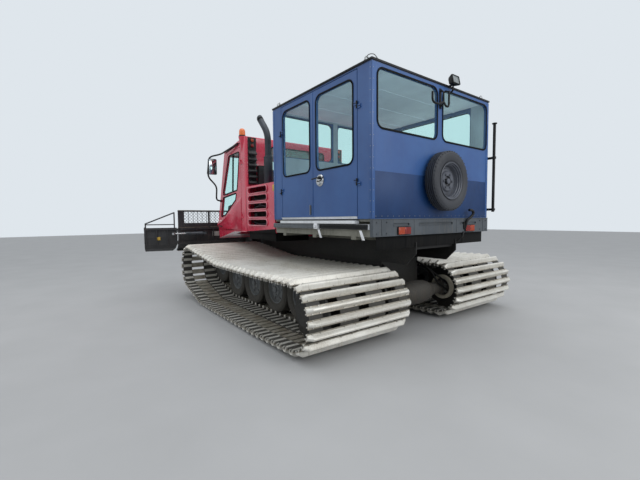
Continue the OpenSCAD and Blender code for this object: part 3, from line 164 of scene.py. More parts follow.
surfaces = {
    # Blue alkyd enamel brushed on sheet steel: satin, faintly mottled, with run-off streaks
    "blueEnamel": {"colour": "325d98", "second": "2a508a", "rough": 0.42, "coat": 0.15, "grime": 0.2,
                   "dirt": "4d6080", "dusty": (1.5, 1.9), "dust": 0.08, "dustColour": "6d7684", "bump": 0.12,
                   "patch": 0.6, "streak": 0.05},
    # The same enamel, darker where the lower wall was painted again
    "lowerEnamel": {"colour": "113868", "second": "0e305e", "rough": 0.5, "grime": 0.3, "shine": 0.35,
                    "dirt": "16263e", "dusty": (1.5, 1.8), "dust": 0.04, "dustColour": "5c6674", "bump": 0.12,
                    "patch": 0.4, "streak": 0.04},
    # Dark blue enamel on the roof, chalked by weather
    "roofEnamel": {"colour": "2b3850", "second": "222c42", "rough": 0.5, "grime": 0.4, "dirt": "4f565c"},
    # Red gelcoat on glass-fibre mouldings: glossy, with pale bloom
    "redGelcoat": {"colour": "d8324f", "second": "c42b47", "rough": 0.26, "coat": 1.0, "grime": 0.12,
                   "dirt": "c8707c", "dusty": (1.0, 1.6), "dust": 0.15, "dustColour": "8f6a68", "bump": 0.06},
    # The same gelcoat on the rolled edges, made pale pink: a painted highlight
    "paintedHighlightGelcoat": {"colour": "e4808e", "second": "d76a7a", "rough": 0.3, "coat": 1.0, "grime": 0.1,
                      "dirt": "b4606c", "bump": 0.05},
    # Cream chassis enamel, stained by road dirt
    "creamPaint": {"colour": "c2bca9", "second": "a9a292", "rough": 0.6, "grime": 0.6, "dirt": "5b4a38"},
    # Satin black chassis paint, dulled by mud
    "blackPaint": {"colour": "17181a", "second": "121314", "rough": 0.5, "grime": 0.35, "dirt": "2e2b27",
                   "dust": 0.2, "shine": 0.3},
    # Galvanised bed beams under years of road film, with painted shade in their hollows
    "bedPaint": {"colour": "8a897e", "second": "747468", "rough": 0.65, "grime": 0.7, "dirt": "45413a",
                 "hollowShade": 0.5},
    # Sand-cast iron with a coarse skin
    "castIron": {"colour": "302f2e", "second": "232120", "rough": 0.65, "metal": 0.2, "grime": 0.6,
                 "dirt": "5a4a3a", "bump": 0.6, "depth": 0.002, "fine": 0.006},
    # Extruded aluminium track bars, scoured pale and stained brown, with painted shade in the hollows between
    # them
    "barAluminium": {"colour": "e4e2da", "second": "cfcbc1", "rough": 0.42, "metal": 0.35, "grime": 0.5,
                     "dirt": "8f8270", "dust": 0.1, "chips": 0.5, "chipColour": "5a4632", "patch": 0.4,
                     "streak": 0.015, "chip": 0.012, "hollowShade": 0.85},
    # The bars' feet: greyer and rubbed with rust, and darker still as painted shade between the bars
    "footAluminium": {"colour": "bdb8ac", "second": "8f8573", "rough": 0.5, "metal": 0.3, "grime": 0.6,
                      "dirt": "5f4a36", "patch": 0.12, "streak": 0.01, "hollowShade": 0.5},
    # Vulcanised rubber over fabric plies, grey with dust
    "rubber": {"colour": "29292a", "second": "323231", "rough": 0.75, "grime": 0.4, "dirt": "4a443b",
               "dust": 0.4, "bump": 0.4, "fine": 0.004},
    # Weathered grey bumper paint
    "greyPaint": {"colour": "4d545b", "second": "3f454b", "rough": 0.6, "grime": 0.6, "dirt": "66635b"},
    # Folded mill-finish aluminium
    "sheetAluminium": {"colour": "eef0f3", "second": "dcdfe2", "rough": 0.4, "metal": 0.15, "grime": 0.3,
                       "dirt": "6e6a62"},
    # Grey wheel enamel, with painted shade in its hollows
    "wheelPaint": {"colour": "686e73", "second": "565c61", "rough": 0.55, "grime": 0.5, "dirt": "544c42",
                   "dust": 0.4, "hollowShade": 0.7},
    # Sooty aluminised stack pipe
    "stackSteel": {"colour": "3d4249", "second": "2e3238", "rough": 0.45, "metal": 0.5, "grime": 0.5,
                   "dirt": "2a2624"},
    # Grained black polypropylene
    "blackPlastic": {"colour": "17181a", "second": "202123", "rough": 0.5, "grime": 0.2, "bump": 0.35,
                     "fine": 0.002, "dust": 0.1},
    # Woven polyester seat cloth, 2 mm threads drawn coarse enough to show
    "seatCloth": {"colour": "2a2d35", "second": "20232a", "rough": 0.9, "grime": 0.15, "bump": 0.8,
                  "fine": 0.002},
    # Black blade paint worn by snow down to brown steel
    "bladePaint": {"colour": "26272b", "second": "323135", "rough": 0.45, "grime": 0.5, "dirt": "5c5548",
                   "chips": 0.5, "chipColour": "8b7f6a", "dust": 0.3},
    # Bare worn steel edge, tan with rust and dried mud
    "wornSteel": {"colour": "8c7f68", "second": "5e5446", "rough": 0.6, "metal": 0.3, "grime": 0.6,
                  "dirt": "3a3028", "patch": 0.08},
    # Zinc-plated fittings, clouded
    "zincSteel": {"colour": "9a9c9e", "second": "80827f", "rough": 0.35, "metal": 0.85, "grime": 0.4},
    # Hard-chromed cylinder rods
    "chromeRod": {"colour": "d0d2d4", "second": "bfc1c3", "rough": 0.16, "metal": 1.0, "grime": 0.1,
                  "bump": 0.03},
    # Polished chrome plate on the latch
    "brightChrome": {"colour": "dcdee0", "second": "c4c8cb", "rough": 0.2, "metal": 1.0, "grime": 0.15,
                     "bump": 0.03},
    # Back-silvered mirror glass
    "mirrorSilver": {"colour": "c8d0d4", "second": "bcc6cb", "rough": 0.13, "metal": 1.0, "grime": 0.05,
                     "bump": 0.01},
    # Soft black sealing rubber
    "sealRubber": {"colour": "0b0b0c", "second": "111213", "rough": 0.65, "grime": 0.1, "dust": 0.03,
                   "shine": 0.12},
    # Pale mounting plate, blank
    "blankPlate": {"colour": "c9c9c4", "second": "b4b4ae", "rough": 0.5, "grime": 0.5, "dirt": "7a766c"},
    # Yellow reflector backing, blank
    "yellowPlate": {"colour": "d8b13c", "second": "c49a2c", "rough": 0.45, "grime": 0.4, "dirt": "7a6a3c"},
    # White powder-coated ceiling sheet, with a painted glow that brightens it
    "ceilingSheet": {"colour": "dfe3ee", "second": "d2d7e3", "rough": 0.6, "grime": 0.15, "glow": 0.15},
    # Grey laminate on the inside of the walls, with a faint painted glow
    "liningSheet": {"colour": "bcc4d0", "second": "aeb6c2", "rough": 0.55, "grime": 0.2, "glow": 0.07},
    # Dark wheel enamel in the spare's deep rim, with painted shade in its hollows
    "rimPaint": {"colour": "585c66", "second": "484c55", "rough": 0.45, "grime": 0.4, "dirt": "4a4640",
                 "hollowShade": 0.7},
    # The spare's tyre, cleaner than those in the tracks
    "spareRubber": {"colour": "33363c", "second": "2b2d33", "rough": 0.6, "grime": 0.3, "dirt": "4c4f55",
                    "bump": 0.3, "fine": 0.004},
}


# Laminated safety glass: clear, with a thin uneven film of dust
def makeGlass(name, tint, cover):
    material, tree = newMaterial(name)
    place = addNode(tree, "ShaderNodeTexCoord").outputs["Object"]
    haze = addNode(tree, "ShaderNodeTexNoise", {"Vector": place, "Scale": 3.0, "Detail": 5.0}).outputs["Fac"]
    rough = addNode(tree, "ShaderNodeMath", {"operation": "MULTIPLY", 0: haze, 1: 0.08}).outputs[0]
    film = addNode(tree, "ShaderNodeMath",
                   {"operation": "MULTIPLY_ADD", 0: haze, 1: 0.04, 2: cover}).outputs[0]
    clear = addNode(tree, "ShaderNodeBsdfTransparent", {"Color": toLinear(tint)})
    shader = addNode(tree, "ShaderNodeBsdfPrincipled",
                     {"Base Color": toLinear("c2d6d8"), "Roughness": rough, "IOR": 1.52})
    both = addNode(tree, "ShaderNodeMixShader", {0: film, 1: clear.outputs[0], 2: shader.outputs[0]})
    addNode(tree, "ShaderNodeOutputMaterial", {"Surface": both.outputs[0]})
    return material


# Moulded acrylic lens with 2 mm ribs, lit a little from behind by the reflector
def makeLens(name, colour, strength):
    material, tree = newMaterial(name)
    place = addNode(tree, "ShaderNodeTexCoord").outputs["Object"]
    ribs = addNode(tree, "ShaderNodeTexWave", {"Vector": place, "bands_direction": "Z", "Scale": 80.0,
                                               "Distortion": 0.3}).outputs["Fac"]
    patch = addNode(tree, "ShaderNodeTexNoise", {"Vector": place, "Scale": 30.0}).outputs["Fac"]
    deep = [c * 0.55 for c in toLinear(colour)[:3]] + [1.0]
    tone = addNode(tree, "ShaderNodeMix",
                   {"data_type": "RGBA", 0: patch, 6: toLinear(colour), 7: deep}).outputs[2]
    bump = addNode(tree, "ShaderNodeBump", {"Strength": 0.4, "Distance": 0.001, "Height": ribs}).outputs[0]
    shader = addNode(tree, "ShaderNodeBsdfPrincipled",
                     {"Base Color": tone, "Emission Color": tone, "Normal": bump, "Roughness": 0.18,
                      "Coat Weight": 0.5, "Emission Strength": strength})
    addNode(tree, "ShaderNodeOutputMaterial", {"Surface": shader.outputs[0]})
    return material


finish = {name: makeSurface(name, spec) for name, spec in surfaces.items()}
finish["windowGlass"] = makeGlass("windowGlass", "f4fffe", 0.02)
finish["redLens"] = makeLens("redLens", "8c1a12", 0.1)
finish["amberLens"] = makeLens("amberLens", "e0702a", 0.3)
finish["deepAmber"] = makeLens("deepAmber", "b0401a", 0.15)
finish["clearLens"] = makeLens("clearLens", "8b9394", 0.0)

cadFinish = {
    "blueEnamel": ["cabin_walls", "front_leaf", "rear_leaf"],
    "roofEnamel": ["cabin_roof"],
    "redGelcoat": ["cab_shell", "engine_panels", "cab_door_left", "cab_door_right"],
    "blackPaint": ["chassis_tub", "frame_rails", "wheel_arms", "lift_frame", "swivel", "rear_fittings",
                   "mirrors", "spare_rim"],
    "castIron": ["rear_axle", "engine_block"],
    "barAluminium": ["track_left", "track_right"],
    "creamPaint": ["sprockets"],
    "bedPaint": ["load_bed"],
    "rubber": ["road_tyres", "spare_tyre"],
    "greyPaint": ["rear_bumper", "lift_barrels", "angle_barrel_left", "angle_barrel_right",
                  "tilt_barrel", "wing_barrel_left", "wing_barrel_right"],
    "sheetAluminium": ["side_steps"],
    "wheelPaint": ["wheel_discs"],
    "stackSteel": ["exhaust"],
    "blackPlastic": ["cab_console", "cab_louvres"],
    "seatCloth": ["seats"],
    "bladePaint": ["blade", "wing_left", "wing_right"],
    "zincSteel": ["lifting_eyes"],
    "chromeRod": ["lift_rods", "angle_rod_left", "angle_rod_right", "tilt_rod", "wing_rod_left",
                  "wing_rod_right"],
    "windowGlass": ["cab_glass", "cabin_glass", "cab_door_left_glass", "cab_door_right_glass",
                    "front_leaf_glass", "rear_leaf_glass"],
    "amberLens": ["beacon"],
    "redLens": ["tail_lamps"],
}
for key, nodes in cadFinish.items():
    for node in nodes:
        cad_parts[node].data.materials.clear()
        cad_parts[node].data.materials.append(finish[key])
print("stage: finishes")


def vertsOf(geom):
    return [item for item in geom if isinstance(item, bmesh.types.BMVert)]


# A placement whose z axis points along a direction
def aimed(direction, spot):
    return Matrix.Translation(spot) @ Vector(direction).to_track_quat("Z", "Y").to_matrix().to_4x4()


# Rounds the sharp edges round some vertices
def roundEdges(mesh, verts, width, segments=2):
    faces = list({face for vert in verts for face in vert.link_faces})
    bmesh.ops.recalc_face_normals(mesh, faces=faces)
    edges = [edge for edge in {edge for vert in verts for edge in vert.link_edges}
             if edge.calc_face_angle(0) > 0.7]
    bmesh.ops.bevel(mesh, geom=edges, offset=width, offset_type="OFFSET", segments=segments, profile=0.5,
                    affect="EDGES", material=-1, clamp_overlap=True)


def addBlock(mesh, low, high, bevel=0.0, place=Matrix()):
    low, high = Vector(low), Vector(high)
    shape = Matrix.Translation((low + high) / 2) @ Matrix.Diagonal((*(high - low), 1.0))
    verts = bmesh.ops.create_cube(mesh, size=1, matrix=place @ shape)["verts"]
    if bevel:
        roundEdges(mesh, verts, bevel)


def addOutline(mesh, points):
    verts = [mesh.verts.new(point) for point in points]
    edges = [mesh.edges.new((verts[i - 1], verts[i])) for i in range(len(verts))]
    return verts, bmesh.ops.edgeloop_fill(mesh, edges=edges)["faces"]


# An outline pushed along a direction
def addPrism(mesh, points, push, bevel=0.0):
    verts, faces = addOutline(mesh, points)
    pushed = vertsOf(bmesh.ops.extrude_face_region(mesh, geom=faces)["geom"])
    bmesh.ops.translate(mesh, vec=push, verts=pushed)
    if bevel:
        roundEdges(mesh, verts + pushed, bevel)


# A rim of a given width inside an outline, pushed along a direction
def addRim(mesh, points, width, push, bevel=0.0):
    faces = addOutline(mesh, points)[1]
    ring = bmesh.ops.inset_region(mesh, faces=faces, thickness=width, use_even_offset=True,
                                   use_boundary=True)["faces"]
    bmesh.ops.delete(mesh, geom=faces, context="FACES_ONLY")
    verts = list({vert for face in ring for vert in face.verts})
    pushed = vertsOf(bmesh.ops.extrude_face_region(mesh, geom=ring, use_keep_orig=True)["geom"])
    bmesh.ops.translate(mesh, vec=push, verts=pushed)
    if bevel:
        roundEdges(mesh, verts + pushed, bevel, 1)


# Adds a finished shape to a mesh once for each placement
def stamp(mesh, part, places=(Matrix(),)):
    data = bpy.data.meshes.new("stamp")
    for place in places:
        copy = part.copy()
        copy.transform(place)
        copy.to_mesh(data)
        copy.free()
        mesh.from_mesh(data)
    bpy.data.meshes.remove(data)
    part.free()


# A profile of (radius, along) spun round its own z axis
def turned(profile, steps=48):
    part = bmesh.new()
    verts = [part.verts.new((radius, 0, along)) for radius, along in profile]
    edges = [part.edges.new(pair) for pair in zip(verts, verts[1:])]
    bmesh.ops.spin(part, geom=verts + edges, cent=(0, 0, 0), axis=(0, 0, 1), angle=2 * math.pi, steps=steps,
                   use_merge=True)
    bmesh.ops.remove_doubles(part, verts=part.verts, dist=1e-5)
    bmesh.ops.recalc_face_normals(part, faces=part.faces)
    return part


# A turned part at one placement
def addTurned(mesh, profile, steps, place=Matrix()):
    stamp(mesh, turned(profile, steps), [place])


# A round bar along a path, with closed ends
def addTube(mesh, path, radius, sides=12):
    path = [Vector(point) for point in path]
    steps = [(b - a).normalized() for a, b in zip(path, path[1:])]
    aims = [steps[0]] + [(a + b).normalized() for a, b in zip(steps, steps[1:])] + [steps[-1]]
    part = bmesh.new()
    turn = aims[0].to_track_quat("Z", "Y")
    place = Matrix.Translation(path[0]) @ turn.to_matrix().to_4x4()
    bmesh.ops.create_circle(part, cap_ends=True, segments=sides, radius=radius, matrix=place)
    edges = list(part.edges)
    for i in range(1, len(path)):
        turn = aims[i - 1].rotation_difference(aims[i]) @ turn
        fresh = Matrix.Translation(path[i]) @ turn.to_matrix().to_4x4()
        geom = bmesh.ops.extrude_edge_only(part, edges=edges)["geom"]
        bmesh.ops.transform(part, matrix=fresh @ place.inverted(), verts=vertsOf(geom))
        edges = [item for item in geom if isinstance(item, bmesh.types.BMEdge)]
        place = fresh
    bmesh.ops.edgeloop_fill(part, edges=edges)
    bmesh.ops.recalc_face_normals(part, faces=part.faces)
    stamp(mesh, part)


# Rounds the bends of a path
def bent(points, reach, steps=6):
    points = [Vector(point) for point in points]
    path = [points[0]]
    for before, corner, after in zip(points, points[1:], points[2:]):
        start = corner + (before - corner).normalized() * min(reach, (before - corner).length / 2)
        end = corner + (after - corner).normalized() * min(reach, (after - corner).length / 2)
        for i in range(steps + 1):
            t = i / steps
            path.append(start * (1 - t) ** 2 + corner * 2 * t * (1 - t) + end * t ** 2)
    return path + [points[-1]]


# Rounds the corners of a closed flat outline with one radius
def rounded(points, radius, steps=6):
    points = [Vector(point) for point in points]
    outline = []
    for i, corner in enumerate(points):
        before = (points[i - 1] - corner).normalized()
        after = (points[(i + 1) % len(points)] - corner).normalized()
        half = before.angle(after) / 2
        middle = corner + (before + after).normalized() * radius / math.sin(half)
        start = (corner + before * radius / math.tan(half) - middle).normalized()
        end = (corner + after * radius / math.tan(half) - middle).normalized()
        outline += [middle + start.slerp(end, step / steps) * radius for step in range(steps + 1)]
    return outline


# Flat outlines: a rectangle at one distance ahead, one at one distance to the side, and points there
def acrossRect(ahead, y, z):
    return [at(ahead, y[0], z[0]), at(ahead, y[1], z[0]), at(ahead, y[1], z[1]), at(ahead, y[0], z[1])]


def alongRect(ahead, y, z):
    return [at(ahead[0], y, z[0]), at(ahead[1], y, z[0]), at(ahead[1], y, z[1]), at(ahead[0], y, z[1])]


def acrossSide(points, y):
    return [at(c, y, z) for c, z in points]


# Hexagon bolts with washers, standing on a surface
def addBolts(mesh, spots, normal, size):
    part = bmesh.new()
    bmesh.ops.create_cone(part, cap_ends=True, segments=12, radius1=size * 1.5, radius2=size * 1.4,
                          depth=size * 0.3, matrix=Matrix.Translation((0, 0, size * 0.15)))
    bmesh.ops.create_cone(part, cap_ends=True, segments=6, radius1=size, radius2=size * 0.92,
                          depth=size * 0.8, matrix=Matrix.Translation((0, 0, size * 0.7)))
    stamp(mesh, part, [aimed(normal, spot) for spot in spots])


# Points (across, up) on a circle
def circle(radius, count):
    angles = [2 * math.pi * i / count for i in range(count)]
    return [(radius * math.cos(angle), radius * math.sin(angle)) for angle in angles]


# Pressed rivet heads
def addRivets(mesh, spots, normal, size):
    part = bmesh.new()
    bmesh.ops.create_cone(part, cap_ends=True, segments=8, radius1=size, radius2=size * 0.5, depth=size * 0.5,
                          matrix=Matrix.Translation((0, 0, size * 0.25)))
    stamp(mesh, part, [aimed(normal, spot) for spot in spots])


def spread(start, end, count):
    return [Vector(start).lerp(Vector(end), i / (count - 1)) for i in range(count)]


# Makes a mesh into a piece that rides on a body
def makePiece(mesh, name, material, slot, body="vehicle", replaced=()):
    bmesh.ops.recalc_face_normals(mesh, faces=mesh.faces)
    data = bpy.data.meshes.new(name)
    mesh.to_mesh(data)
    mesh.free()
    data.polygons.foreach_set("use_smooth", [True] * len(data.polygons))
    data.set_sharp_from_angle(angle=math.radians(34))
    data.materials.append(finish[material])
    piece = bpy.data.objects.new(name, data)
    bpy.context.scene.collection.objects.link(piece)
    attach(piece, body)
    if replaced:
        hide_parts(*replaced)
    return piece


# Makes a piece out of one shape at each of its placements
def makeStamped(part, places, *about, **more):
    mesh = bmesh.new()
    stamp(mesh, part, places)
    return makePiece(mesh, *about, **more)


# Tracks: rubber belts, and pressed aluminium bars bolted across them
track = {"inner": 0.525, "outer": 2.1, "middle": 1.3125, "beltThick": 0.012, "bars": 72,
         "sprocket": (0.410, 0.460), "sprocketRadius": 0.353, "idler": (4.150, 0.620), "wheelRadius": 0.36,
         "firstWheel": 1.225, "pitch": 0.73, "wheelHeight": 0.437, "arcSteps": 30,
         "belts": [(-0.675, 0.170), (-0.215, 0.270), (0.215, 0.270), (0.675, 0.170)]}


def touchAngle(point, centre, radius, side):
    away = Vector(point) - Vector(centre)
    return math.atan2(away.y, away.x) + side * math.acos(radius / away.length)


# The loop's side view as points (ahead, height), grown outwards from the wheels
def trackLoop(grown):
    wheel, height = track["wheelRadius"] + grown, track["wheelHeight"]
    drum = track["sprocketRadius"] + grown
    first, pitch = track["firstWheel"], track["pitch"]
    idler, sprocket = track["idler"], track["sprocket"]
    rise = math.atan2(idler[1] - height, idler[0] - first - 3 * pitch)
    run = Vector((first - sprocket[0], sprocket[1] - height))
    fall = math.atan2(run.y, run.x) + math.asin((track["wheelRadius"] - track["sprocketRadius"]) / run.length)
    low4 = (first + 3 * pitch + wheel * math.tan(rise / 2), height - wheel)
    low1 = (first - wheel * math.tan(fall / 2), height - wheel)
    top3, top1 = (first + 2 * pitch, height + wheel), (first, height + wheel)
    points = []
    for centre, radius, start, end, after in ((idler, wheel, touchAngle(low4, idler, wheel, 1),
                                               touchAngle(top3, idler, wheel, -1), [top3, top1]),
                                              (sprocket, drum, touchAngle(top1, sprocket, drum, 1),
                                               touchAngle(low1, sprocket, drum, -1), [low1, low4])):
        start, end = start % (2 * math.pi), end % (2 * math.pi)
        start -= 2 * math.pi if start > end else 0
        for i in range(track["arcSteps"] + 1):
            angle = start + (end - start) * i / track["arcSteps"]
            points.append((centre[0] + radius * math.cos(angle), centre[1] + radius * math.sin(angle)))
        points += after
    return [Vector(point) for point in points]


# Point at a distance along the loop
def onLoop(points, distance):
    for here, there in zip(points, points[1:] + points[:1]):
        length = (there - here).length
        if distance < length:
            return here.lerp(there, distance / length)
        distance -= length
    return points[0]


def makeBelts(name, side, node):
    mesh = bmesh.new()
    inside = trackLoop(0.0005)
    for middle, width in track["belts"]:
        start = side * (track["middle"] + middle - width / 2)
        verts = [mesh.verts.new(at(p.x, start, p.y)) for p in inside]
        edges = [mesh.edges.new((verts[i - 1], verts[i])) for i in range(len(verts))]
        geom = bmesh.ops.extrude_edge_only(mesh, edges=edges)["geom"]
        bmesh.ops.translate(mesh, vec=(0, side * width, 0), verts=vertsOf(geom))
        band = [face for face in {face for vert in verts for face in vert.link_faces}]
        bmesh.ops.recalc_face_normals(mesh, faces=band)
        bmesh.ops.solidify(mesh, geom=band, thickness=-0.0115)
    return makePiece(mesh, name, "rubber", "track_bars", replaced=(node,))


# One bar with its foot on z = 0 and its ridge along +z; x runs along the loop and y across it
bar = {"foot": 0.046, "flange": 0.009, "ridge": 0.013, "height": 0.0650, "slope": 0.055, "hornAt": 0.1215,
       "horn": [(-0.030, -0.0125), (0.030, -0.0125), (0.012, -0.060), (-0.012, -0.060)]}


def barShape():
    part = bmesh.new()
    half = [(0.034, bar["flange"]), (0.031, 0.013), (0.024, 0.036),
            (bar["ridge"] + 0.002, bar["height"] - 0.006), (bar["ridge"] - 0.004, bar["height"])]
    section = half + [(-x, z) for x, z in reversed(half)]
    stations = [track["inner"], track["inner"] + bar["slope"], track["outer"] - bar["slope"], track["outer"]]
    faces = addOutline(part, [(x, stations[0], z) for x, z in section])[1]
    for y, before in zip(stations[1:], stations):
        geom = bmesh.ops.extrude_face_region(part, geom=faces)["geom"]
        bmesh.ops.translate(part, vec=(0, y - before, 0), verts=vertsOf(geom))
        faces = [item for item in geom if isinstance(item, bmesh.types.BMFace)]
    # The ridge falls to the flange at both ends
    for vert in part.verts:
        tall = 1.0 if track["inner"] + 0.01 < vert.co.y < track["outer"] - 0.01 else 0.32
        if vert.co.z > 0.012:
            vert.co.z = 0.012 + (vert.co.z - 0.012) * tall
    bmesh.ops.recalc_face_normals(part, faces=part.faces)
    # Two bolts through the foot over each belt
    spots = []
    for middle, width in track["belts"]:
        spots += [(x, track["middle"] + middle + reach * width, bar["flange"])
                  for reach in (-0.3, 0.3) for x in (-0.0375, 0.0375)]
    head = bmesh.new()
    bmesh.ops.create_cone(head, cap_ends=True, segments=6, radius1=0.0085, radius2=0.0078, depth=0.008,
                          matrix=Matrix.Translation((0, 0, 0.003)))
    stamp(part, head, [Matrix.Translation(spot) for spot in spots])
    # Clamp plates inside each belt, and two lugs that hold each end of the bar
    for middle, width in track["belts"]:
        start = track["middle"] + middle - width / 2 + 0.006
        if abs(middle) < 0.5:
            start += 0.045 if middle > 0 else 0.0
            width -= 0.045
        addBlock(part, (-0.026, start, -0.0190), (0.026, start + width - 0.012, -0.0125))
    for y in (track["inner"] + 0.002, track["outer"] - 0.032):
        for x in (-0.030, 0.018):
            addBlock(part, (x, y, -0.024), (x + 0.012, y + 0.030, 0.004))
    # Guide horns on the inner face, between a tyre and the drum's rings
    for y in (-bar["hornAt"], bar["hornAt"]):
        addPrism(part, [(x, track["middle"] + y - 0.005, z) for x, z in bar["horn"]], (0, 0.01, 0))
    return part


def barPlaces(side):
    loop = trackLoop(track["beltThick"])
    total = sum((there - here).length for here, there in zip(loop, loop[1:] + loop[:1]))
    places = []
    for k in range(track["bars"]):
        distance = (k + 0.5) * total / track["bars"]
        back, fore = (onLoop(loop, (distance + reach) % total) for reach in (-bar["foot"], bar["foot"]))
        here = onLoop(loop, distance)
        along = (fore - back).normalized()
        outward = Vector((along.y, -along.x))
        dips = ((back + fore) / 2 - here).dot(outward) > 0
        spot = (back + fore) / 2 if dips else here
        # Each bar sits a little differently on its belts
        lean = rng.uniform(-0.012, 0.012)
        place = Matrix(((along.x, 0, outward.x, rearX + spot.x), (0, side, 0, 0),
                        (along.y, 0, outward.y, spot.y), (0, 0, 0, 1)))
        places.append(place @ Matrix.Rotation(lean * 0.3, 4, "Y"))
    return places


def makeBars(name, side, node):
    places = barPlaces(side)
    makeStamped(barShape(), places, name, "barAluminium", "track_bars", replaced=(node,))
    # The feet take a darker finish: partly rust and wear, partly painted shade between the bars
    foot = bmesh.new()
    addBlock(foot, (-bar["foot"], track["inner"], 0.0), (bar["foot"], track["outer"], bar["flange"]))
    makeStamped(foot, places, name + "Feet", "footAluminium", "track_bars", replaced=(node,))


for side, word in bothSides.items():
    makeBelts(word + "Belts", side, "track_" + word)
    makeBars(word + "Bars", side, "track_" + word)
print("stage: tracks")

# Road wheels: ribbed tyres on pressed discs with hand holes
wheels = {"places": [(track["firstWheel"] + track["pitch"] * i, track["wheelHeight"]) for i in range(4)]
          + [track["idler"]], "holes": 6, "bolts": 5}


# A tyre's closed profile: its side wall from the bead out, mirrored, and a tread cut by grooves
def tyreProfile(wall, edge, grooves, cut):
    profile = [(wall[0][0], 0.0)] + [(radius, -along) for radius, along in wall] + [(edge[0], -edge[1])]
    for groove in grooves:
        profile += [(radius, groove + along) for radius, along in cut]
    profile += [edge] + wall[::-1]
    return profile + profile[:1]


def makeWheels():
    wall = [(0.2155, 0.070), (0.226, 0.080), (0.238, 0.083), (0.243, 0.090), (0.275, 0.101), (0.3096, 0.1095),
            (0.318, 0.107), (0.322, 0.1085), (0.342, 0.098), (0.354, 0.088)]
    profile = tyreProfile(wall, (0.360, 0.079), (-0.05, -0.017, 0.017, 0.05),
                          [(0.360, -0.006), (0.352, -0.004), (0.352, 0.004), (0.360, 0.006)])
    disc = turned([(0, 0.100), (0.040, 0.099), (0.048, 0.094), (0.052, 0.076), (0.098, 0.073),
                   (0.105, 0.060), (0.122, 0.045), (0.182, 0.034), (0.196, 0.052), (0.201, 0.074),
                   (0.206, 0.077), (0.2148, 0.075), (0.2148, -0.075), (0.206, -0.077), (0.201, -0.074),
                   (0.178, 0.020), (0.118, 0.030), (0.100, 0.045), (0, 0.045)], 36)
    # Hand holes pressed through the slope of the disc
    slope = [face for face in disc.faces if 0.03 < face.calc_center_median().z < 0.045
             and 0.14 < face.calc_center_median().xy.length < 0.165]
    slope.sort(key=lambda face: math.atan2(face.calc_center_median().y, face.calc_center_median().x))
    chosen = [face for i, face in enumerate(slope) if i % (36 // wheels["holes"]) == 0]
    bmesh.ops.inset_individual(disc, faces=chosen, thickness=0.004)
    geom = bmesh.ops.extrude_discrete_faces(disc, faces=chosen)["faces"]
    bmesh.ops.translate(disc, vec=(0, 0, -0.012), verts=list({vert for face in geom for vert in face.verts}))
    addBolts(disc, [(x, y, 0.0735) for x, y in circle(0.078, wheels["bolts"])], (0, 0, 1), 0.010)
    places = [aimed((0, side, 0), at(c, side * track["middle"], z)) for side in (1, -1)
              for c, z in wheels["places"]]
    makeStamped(turned(profile, 48), places, "roadTyres", "rubber", "tyre_rubber", replaced=("road_tyres",))
    makeStamped(disc, places, "roadWheelDiscs", "wheelPaint", "hub_paint", replaced=("wheel_discs",))


makeWheels()
print("stage: road wheels")

# Drive: black toothed wheels in the belts' gaps, with a cream ring at the axle's end
drive = {"place": track["sprocket"], "teeth": 16, "root": 0.327, "tip": 0.349, "disc": 0.036, "discAt": 0.467}


def makeDrive():
    dark, cream = bmesh.new(), bmesh.new()
    gear = bmesh.new()
    outline = []
    for i in range(drive["teeth"]):
        for step, radius in ((-0.34, "root"), (-0.16, "tip"), (0.16, "tip"), (0.34, "root")):
            angle = 2 * math.pi * (i + step) / drive["teeth"]
            outline.append((drive[radius] * math.cos(angle), drive[radius] * math.sin(angle),
                            -drive["disc"] / 2))
    addPrism(gear, outline, (0, 0, drive["disc"]), 0.003)
    addBolts(gear, [(x, y, drive["disc"] / 2) for x, y in circle(0.24, 8)], (0, 0, 1), 0.012)
    c, z = drive["place"]
    centre = {side: at(c, side * track["middle"], z) for side in (1, -1)}
    places = [aimed((0, turn, 0), centre[side] + Vector((0, turn * drive["discAt"], 0)))
              for side in (1, -1) for turn in (1, -1)]
    stamp(dark, gear, places)
    drum = [(0.346, -0.25), (0.353, -0.243), (0.353, -0.137), (0.346, -0.13), (0.23, -0.13)]
    profile = [(0.0, -0.58), (0.14, -0.58), (0.15, -0.57), (0.15, -0.256),
               (0.23, -0.25)] + drum + [(0.225, -0.12)]
    profile += [(r, -a) for r, a in reversed(profile)]
    stamp(dark, turned(profile, 64), [aimed((0, side, 0), centre[side]) for side in (1, -1)])
    makePiece(dark, "driveWheels", "blackPaint", "cast_housing", replaced=("sprockets",))
    collar = [(0.130, 0.562), (0.182, 0.560), (0.186, 0.566), (0.186, 0.606), (0.174, 0.619), (0.144, 0.619),
              (0.130, 0.604), (0.130, 0.562)]
    stamp(cream, turned(collar, 64), [aimed((0, -side, 0), centre[side]) for side in (1, -1)])
    makePiece(cream, "driveRings", "creamPaint", "cast_housing", replaced=("sprockets",))


# Hydraulic lines and unions on the axle housing
def makeAxleHoses():
    c, z = drive["place"]
    lines, unions = bmesh.new(), bmesh.new()
    for side in (1, -1):
        for turn, drop in ((0.06, 0.085), (-0.05, 0.100)):
            start = at(c - drop, side * 0.66, z + turn)
            addTube(lines, bent([start, start + Vector((-0.05, 0, 0.02)), at(0.34, side * 0.50, 0.60 + turn),
                                 at(0.40, side * 0.41, 0.75), at(0.66, side * 0.38, 0.88)], 0.08), 0.014, 10)
            bmesh.ops.create_cone(unions, cap_ends=True, segments=6, radius1=0.022, radius2=0.022, depth=0.03,
                                  matrix=aimed((-1, 0, 0.4), start + Vector((-0.012, 0, 0.004))))
        addBolts(unions, [at(c + x, side * 0.6625, z + up) for x, up in circle(0.098, 10)],
                 (0, -side, 0), 0.009)
    makePiece(lines, "axleHoses", "sealRubber", "cast_housing")
    makePiece(unions, "axleUnions", "zincSteel", "cast_housing")


makeDrive()
makeAxleHoses()

# Spare wheel: ribbed all-weather tread and a deep dished rim
spare = {"place": at(-0.105, -0.030, 2.010), "lugs": 44}


